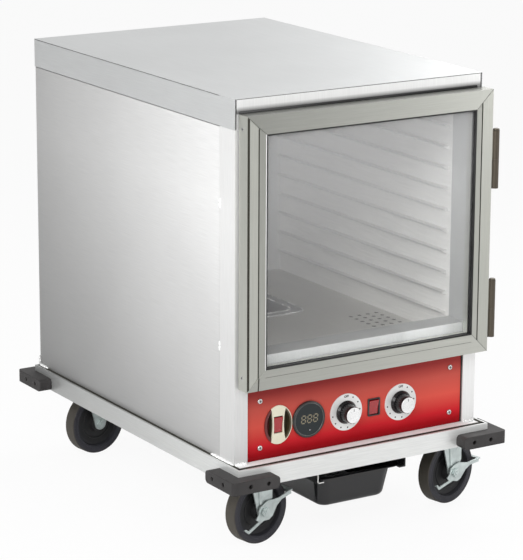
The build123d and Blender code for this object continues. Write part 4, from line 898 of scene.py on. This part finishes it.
# Painted shade: dark strips in the grooves of both stiles, at the foot of the left groove and along the
# left outer edge groove.
groove_share, groove_width, groove_sunk, groove_depth = 0.635, 0.0026, 0.0010, 0.0007
foot_width, edge_width, edge_inset, edge_ends = 0.0024, 0.0046, 0.0029, 0.005
door_middle_z = (door_low[2] + door_high[2]) / 2
groove_middle = groove_share * (inner_low[0] - door_low[0])
groove_high = door_high[2] - door_low[2] - 2 * groove_middle
dark_strips = [
    plate(groove_width, groove_high, fine, (x, outer_y + groove_sunk, door_middle_z), groove_depth)
    for x in (door_low[0] + groove_middle, door_high[0] - groove_middle)
]
foot_place = np.array([door_low[0] + groove_middle, outer_y, door_low[2]]) + groove_middle / 2 * slope
dark_strips.append(plate(foot_width, groove_middle, fine, foot_place, fine, v=slope))
edge_high = door_high[2] - door_low[2] - edge_ends
edge_place = (door_low[0] + edge_inset, outer_y, door_middle_z)
dark_strips.append(plate(edge_width, edge_high, fine, edge_place, fine))
make_plates("door_groove_shades", dark_strips, painted_shade_dark, "door")

# Painted highlight: a bright silver bead along the window's left edge, where the frame's inner edge catches
# the light.
lip_place = (inner_low[0] - 0.0008, inner_y, (inner_low[2] + inner_high[2]) / 2)
lip_high = inner_high[2] - inner_low[2]
lip = plate(0.0013, lip_high, 0.0005, lip_place, 0.0004, steps=4, round_edge=0.0002)
make_piece("window_lip_highlight", [lip], silver_and_highlight, "door", capped=True)
print("joint lines:", len(joint_lines), "dark strips:", len(dark_strips))

# %% Door screw recesses
head_low, head_high = span("door_screws")
head_radius = 0.0036
head_x, head_y = head_low[0] - clearance, (head_low[1] + head_high[1]) / 2
head_places = [(head_x, head_y, z) for z in (head_low[2] + head_radius, head_high[2] - head_radius)]
make_crosses("door_screw_crosses", head_places, -across, upright, 0.0046, "door")

# %% [markdown]
# ## Vents and the water pan
# Dark discs in the vents are painted shade, which closes the view through them. Two bright beads run round
# the pan, one along the outer edge of its flange and one along the mouth: painted highlights on its rim
# edges.

# %% Vents
# The dark discs are painted shade in the vent holes.
vent_pitch, vent_radius, disc_thickness = 0.020, 0.0044, 0.0002
disc = [(0, 0), (0, vent_radius), (disc_thickness, vent_radius), (disc_thickness, 0)]
disc_z = span("floor_liner")[1][2] - 0.0006
fan_middle = middle_of("fan_wheel")
discs = [
    turned(disc, 20, (x, y, disc_z), upright, across)
    for x in fan_middle[0] + (np.arange(4) - 1.5) * vent_pitch
    for y in fan_middle[1] + (np.arange(5) - 2) * vent_pitch
]
make_piece("vent_shades", discs, painted_shade_dark, "cabinet", smooth=False)
print("vents:", len(discs))


# %% Beads of the water pan
def bead_loop(width, depth, corner, thickness, centre, columns=10):
    """A closed tube along a rectangle with round corners: path point plus a ring of the tube's radius."""
    path = rounded_outline(width, depth, corner, 8)
    path = np.concatenate([path, path[:1]])
    outwards = path / np.linalg.norm(path, axis=1)[:, None]
    cosines, sines = circle(columns)
    flat = path[:, None] + thickness * cosines[None, :, None] * outwards[:, None]
    high = np.broadcast_to(thickness * sines, flat.shape[:2])
    return centre + np.concatenate([flat, high[..., None]], axis=2)


# The two bright beads are painted highlights along the edges of the pan's rim.
tray_low, tray_high = span("water_pan")
tray = middle_of("water_pan")
tray[2] = tray_high[2] - 0.0003
wide, deep = (tray_high - tray_low)[:2]
flange, rim_inset = 0.020, 0.001
pan_beads = [
    bead_loop(wide - 2 * rim_inset, deep - 2 * rim_inset, 0.024, 0.0012, tray),
    bead_loop(wide - 2 * flange, deep - 2 * flange, 0.020, 0.0016, tray),
]
rim_highlight = zinc_finish("rim_highlight", (0.90, 0.90, 0.88), 0.25, 0.4)
make_piece("water_pan_highlight_beads", pan_beads, rim_highlight, "water_pan_body")
print("pan beads:", len(pan_beads))

# %% [markdown]
# ## Dark lines round the door and the base
# The top of the rubber seal shows as a black roll over the door, and it also stands for the shadow in the
# gap there. The header over it is painted darker towards the gap, a painted reflection of it. Thin lines
# part the cap from the sides: seams along its top edges, and a painted shadow under its skirt. Painted
# shade fills the groove round the deck.

# %% Seal roll over the door
roll_y, roll_z = body_low[1] - 0.0021, door_high[2] + 0.0008
roll_depth, roll_high, mirror_high = 0.0014, 0.0034, 0.0115
cosines, sines = circle(20)
section = np.stack([0 * cosines, roll_depth * cosines, roll_high * sines], axis=1)
roll_rows = [section + (x, roll_y, roll_z) for x in (body_low[0] + 0.008, body_high[0] - 0.013)]
make_piece("seal_roll", [np.stack(roll_rows)], gasket_and_shade_black, "door", capped=True)
# Painted reflection: the header is painted darker towards the dark gap over the door.
header_z = coordinate(post_sheet, "Z")
mirrored = spread(post_sheet, header_z, roll_z + roll_high, roll_z + mirror_high, 0.30, 1.0)
below = spread(post_sheet, header_z, door_high[2] - 0.001, door_high[2], 1.0, 0.0)
shade(post_sheet, arithmetic(post_sheet, "MAXIMUM", mirrored, below))
print("seal roll at z:", round(roll_z, 4), "m")

# %% Seams of the cap
cap_low, cap_high = span("top_cap")
side_low, side_high = span("left_side_panel")
seam_and_shadow_grey = moulded_finish("seam_and_shadow_grey", (0.16, 0.16, 0.155), 0.6)
upper_z, lower_z = cap_high[2] - 0.0012, cap_low[2] - 0.0008
soft_corner, seam_depth, lower_inset = 0.0003, 0.0002, 0.001
front_seam = ((body_low[0] + body_high[0]) / 2, body_low[1], upper_z)
seams = [plate(body_high[0] - body_low[0], 0.0011, soft_corner, front_seam, seam_depth)]
side_y, side_run = (side_low[1] + side_high[1]) / 2, side_high[1] - side_low[1]
# The lower line on each side is painted shadow under the cap's skirt; the upper lines are seams.
for face_x, way in ((cap_low[0], -1), (cap_high[0], 1)):
    lower_x = face_x - way * lower_inset
    for x, z, high in ((face_x, upper_z, 0.0010), (lower_x, lower_z, 0.0014)):
        seams.append(plate(side_run, high, soft_corner, (x, side_y, z), seam_depth, way * forwards))
make_plates("cap_seams_and_shadow", seams, seam_and_shadow_grey, "cabinet")

# %% Shade in the groove of the base
deck_low, deck_high = span("base_deck")
base_low, base_high = span("base_rails")
rail_wall, over_deck, side_gap = 0.004, 0.0020, 0.0006
shade_z, shade_high = deck_high[2] + 0.0001, 0.0006
base_x, base_y = middle_of("base_rails")[:2]
base_wide, base_deep = (base_high - base_low)[:2] - 2 * rail_wall
front_y0, front_y1 = base_low[1] + rail_wall, deck_low[1] + over_deck
runs = [(base_wide, front_y1 - front_y0, base_x, (front_y0 + front_y1) / 2)]
for rail_x, deck_x in ((base_low[0] + rail_wall, deck_low[0]), (base_high[0] - rail_wall, deck_high[0])):
    runs.append((abs(deck_x - rail_x) - side_gap, base_deep, (rail_x + deck_x) / 2, base_y))
grooves = [
    plate(run_x, run_y, soft_corner, (x, y, shade_z), shade_high, v=-forwards)
    for run_x, run_y, x, y in runs
]
make_plates("groove_shade", grooves, painted_shade_dark, "cabinet")
print("seams:", len(seams), "grooves:", len(grooves))

# %% [markdown]
# ## Tyres
# A caster wheel is one moulding. Its tread is worn to a dusty brown, its side wall keeps a dark
# bluish skin, and raised rings run round the wall and the sunk web. Distance from the axle picks
# the colour, so each wheel's pattern is centred and turned on its own axle.


# %% Tyre finishes
def tyre_finish(name, joint):
    """Dark moulding whose colour goes by r = sqrt(x^2 + z^2) about the axle, plus dust noise."""
    material = new_finish(name, (0.05, 0.048, 0.05), 0.5, specular=0.35)
    turn = math.atan2(-joint["axis"][0], joint["axis"][1])
    local = parts_of(material, object_coordinates(material, joint["pos_m"], turn))
    square = arithmetic(material, "MULTIPLY", local[0], local[0])
    square = arithmetic(material, "MULTIPLY_ADD", local[2], local[2], square)
    share = spread(material, arithmetic(material, "SQRT", square), 0.0, 0.0640, 0.0, 1.0)
    bands = [
        (0.0, (0.020, 0.020, 0.020)), (0.62, (0.012, 0.012, 0.013)), (0.735, (0.022, 0.022, 0.025)),
        (0.79, (0.028, 0.028, 0.036)), (0.955, (0.033, 0.032, 0.039)), (0.99, (0.058, 0.051, 0.041)),
    ]
    colour_by(material, share, bands)
    dust = noise(material, object_coordinates(material), 22, 5)
    shade(material, spread(material, dust, 0.3, 0.75, 0.85, 1.25))
    set_roughness(material, spread(material, dust, 0.3, 0.7, 0.42, 0.58))
    set_bump(material, noise(material, object_coordinates(material), 1100, 2), 0.25, 0.0003)
    return material


joints = {joint["name"]: joint for joint in frame["record"]["behaviour"]["joints"]}
tread_half, web_half, sunk = 0.013, 0.006, 0.0001
for corner in corners:
    joint = joints[f"wheel_{corner}_spin"]
    tyre = dress(tyre_finish(f"tyre_{corner}", joint), f"wheel_{corner}")
    axis, centre = np.array(joint["axis"], float), np.array(joint["pos_m"], float)
    rings = []
    for out in (-axis, axis):
        wall_face, web_face = centre + out * (tread_half - sunk), centre + out * (web_half - sunk)
        rings.append(raised_ring(0.0522, 0.0007, 0.0009, wall_face, out))
        rings.append(raised_ring(0.0600, 0.0005, 0.0006, wall_face, out))
        rings.append(raised_ring(0.0330, 0.0016, 0.0015, web_face, out))
    make_piece(f"wheel_rings_{corner}", rings, tyre, f"roller_{corner}")
print("wheels dressed:", len(corners))

# %% [markdown]
# ## Floor, light and camera
# The floor is a plain pale plane that keeps the object's shadow. The world is white to the
# camera, and softer as a source of light, so that pale metal doesn't wash out.

# %% Floor
white = (1, 1, 1)
floor_finish = new_finish("floor_finish", (0.93, 0.93, 0.93), 0.75, specular=0.2)
matt = shader_of(floor_finish).outputs["BSDF"]
glow = plain_shader(floor_finish, "Emission", white)
pale = mix_shaders(floor_finish, 0.92, matt, glow)
set_surface(floor_finish, mix_shaders(floor_finish, rays(floor_finish, "Camera"), matt, pale))

floor_half = 14.0
square = ((-1, -1), (1, -1), (1, 1), (-1, 1))
floor_mesh = bpy.data.meshes.new("floor")
floor_mesh.from_pydata([(x * floor_half, y * floor_half, 0) for x, y in square], [], [(0, 1, 2, 3)])
floor_mesh.materials.append(floor_finish)
floor = bpy.data.objects.new("floor", floor_mesh)
bpy.context.scene.collection.objects.link(floor)
print("floor side:", 2 * floor_half, "m")

# %% World
world = bpy.data.worlds.new("studio")
bpy.context.scene.world = world
world.use_nodes = True
backdrop = world.node_tree.nodes["Background"]
backdrop.inputs["Color"].default_value = (*white, 1)
backdrop.inputs["Strength"].default_value = 1.0
ambient = plain_shader(world, "Background", white, 0.42)
reflected = plain_shader(world, "Background", white, 0.75)
lit = mix_shaders(world, rays(world, "Glossy"), ambient, reflected)
seen = arithmetic(world, "MAXIMUM", rays(world, "Camera"), rays(world, "Transmission"))
sky = mix_shaders(world, seen, lit, backdrop.outputs["Background"])
link(world, sky, world.node_tree.nodes["World Output"].inputs["Surface"])


# %% Lamps
def soft_box(name, place, target, size, watts):
    """A square area lamp at a place, turned to face a target."""
    lamp = bpy.data.lights.new(name, "AREA")
    lamp.shape = "RECTANGLE"
    lamp.size, lamp.size_y = size
    lamp.energy = watts
    box = bpy.data.objects.new(name, lamp)
    bpy.context.scene.collection.objects.link(box)
    box.location = place
    way = np.subtract(target, place)
    yaw = math.atan2(way[1], way[0])
    tilt = math.atan2(np.hypot(way[0], way[1]), -way[2])
    box.rotation_euler = (tilt, 0, yaw - math.pi / 2)


soft_box("key", (-2.1, -2.6, 2.3), (-0.2, -0.3, 0.45), (1.4, 1.4), 46)
soft_box("overhead", (1.5, 0.7, 2.1), (0.1, 0.0, 0.84), (1.2, 1.2), 24)
soft_box("near_left", (-1.7, -0.8, 1.1), (-0.27, -0.2, 0.55), (0.8, 1.0), 15)
soft_box("fill", (2.4, -2.6, 1.0), (0.1, -0.4, 0.4), (1.2, 1.6), 20)
print("lamps:", len(bpy.data.lights))

# %% [markdown]
# The camera's place comes from the frame's own corners and wheels, measured against the
# photograph: a long lens, a little to the left of the door and above the top.

# %% Camera
eye = np.array([-2.610447, -4.184904, 1.679507])
yaw, pitch, roll = 0.559043, 0.253102, 0.004499
image_side = 560
lens_pixels = 2626.674
sensor = 36.0

ahead = np.array([math.sin(yaw) * math.cos(pitch), math.cos(yaw) * math.cos(pitch), -math.sin(pitch)])
level = np.array([math.cos(yaw), -math.sin(yaw), 0.0])
upward = np.cross(level, ahead)
right = math.cos(roll) * level + math.sin(roll) * upward
up = math.cos(roll) * upward - math.sin(roll) * level

lens = bpy.data.cameras.new("camera")
lens.sensor_width = sensor
lens.lens = lens_pixels / image_side * sensor
lens.clip_end = 60
camera = bpy.data.objects.new("camera", lens)
bpy.context.scene.collection.objects.link(camera)
placing = np.eye(4)
placing[:3] = np.stack([right, up, -ahead, eye], axis=1)
camera.matrix_world = Matrix(placing.tolist())
bpy.context.scene.camera = camera
bpy.context.scene.view_settings.view_transform = "Standard"
print("lens:", round(lens.lens, 1), "mm")
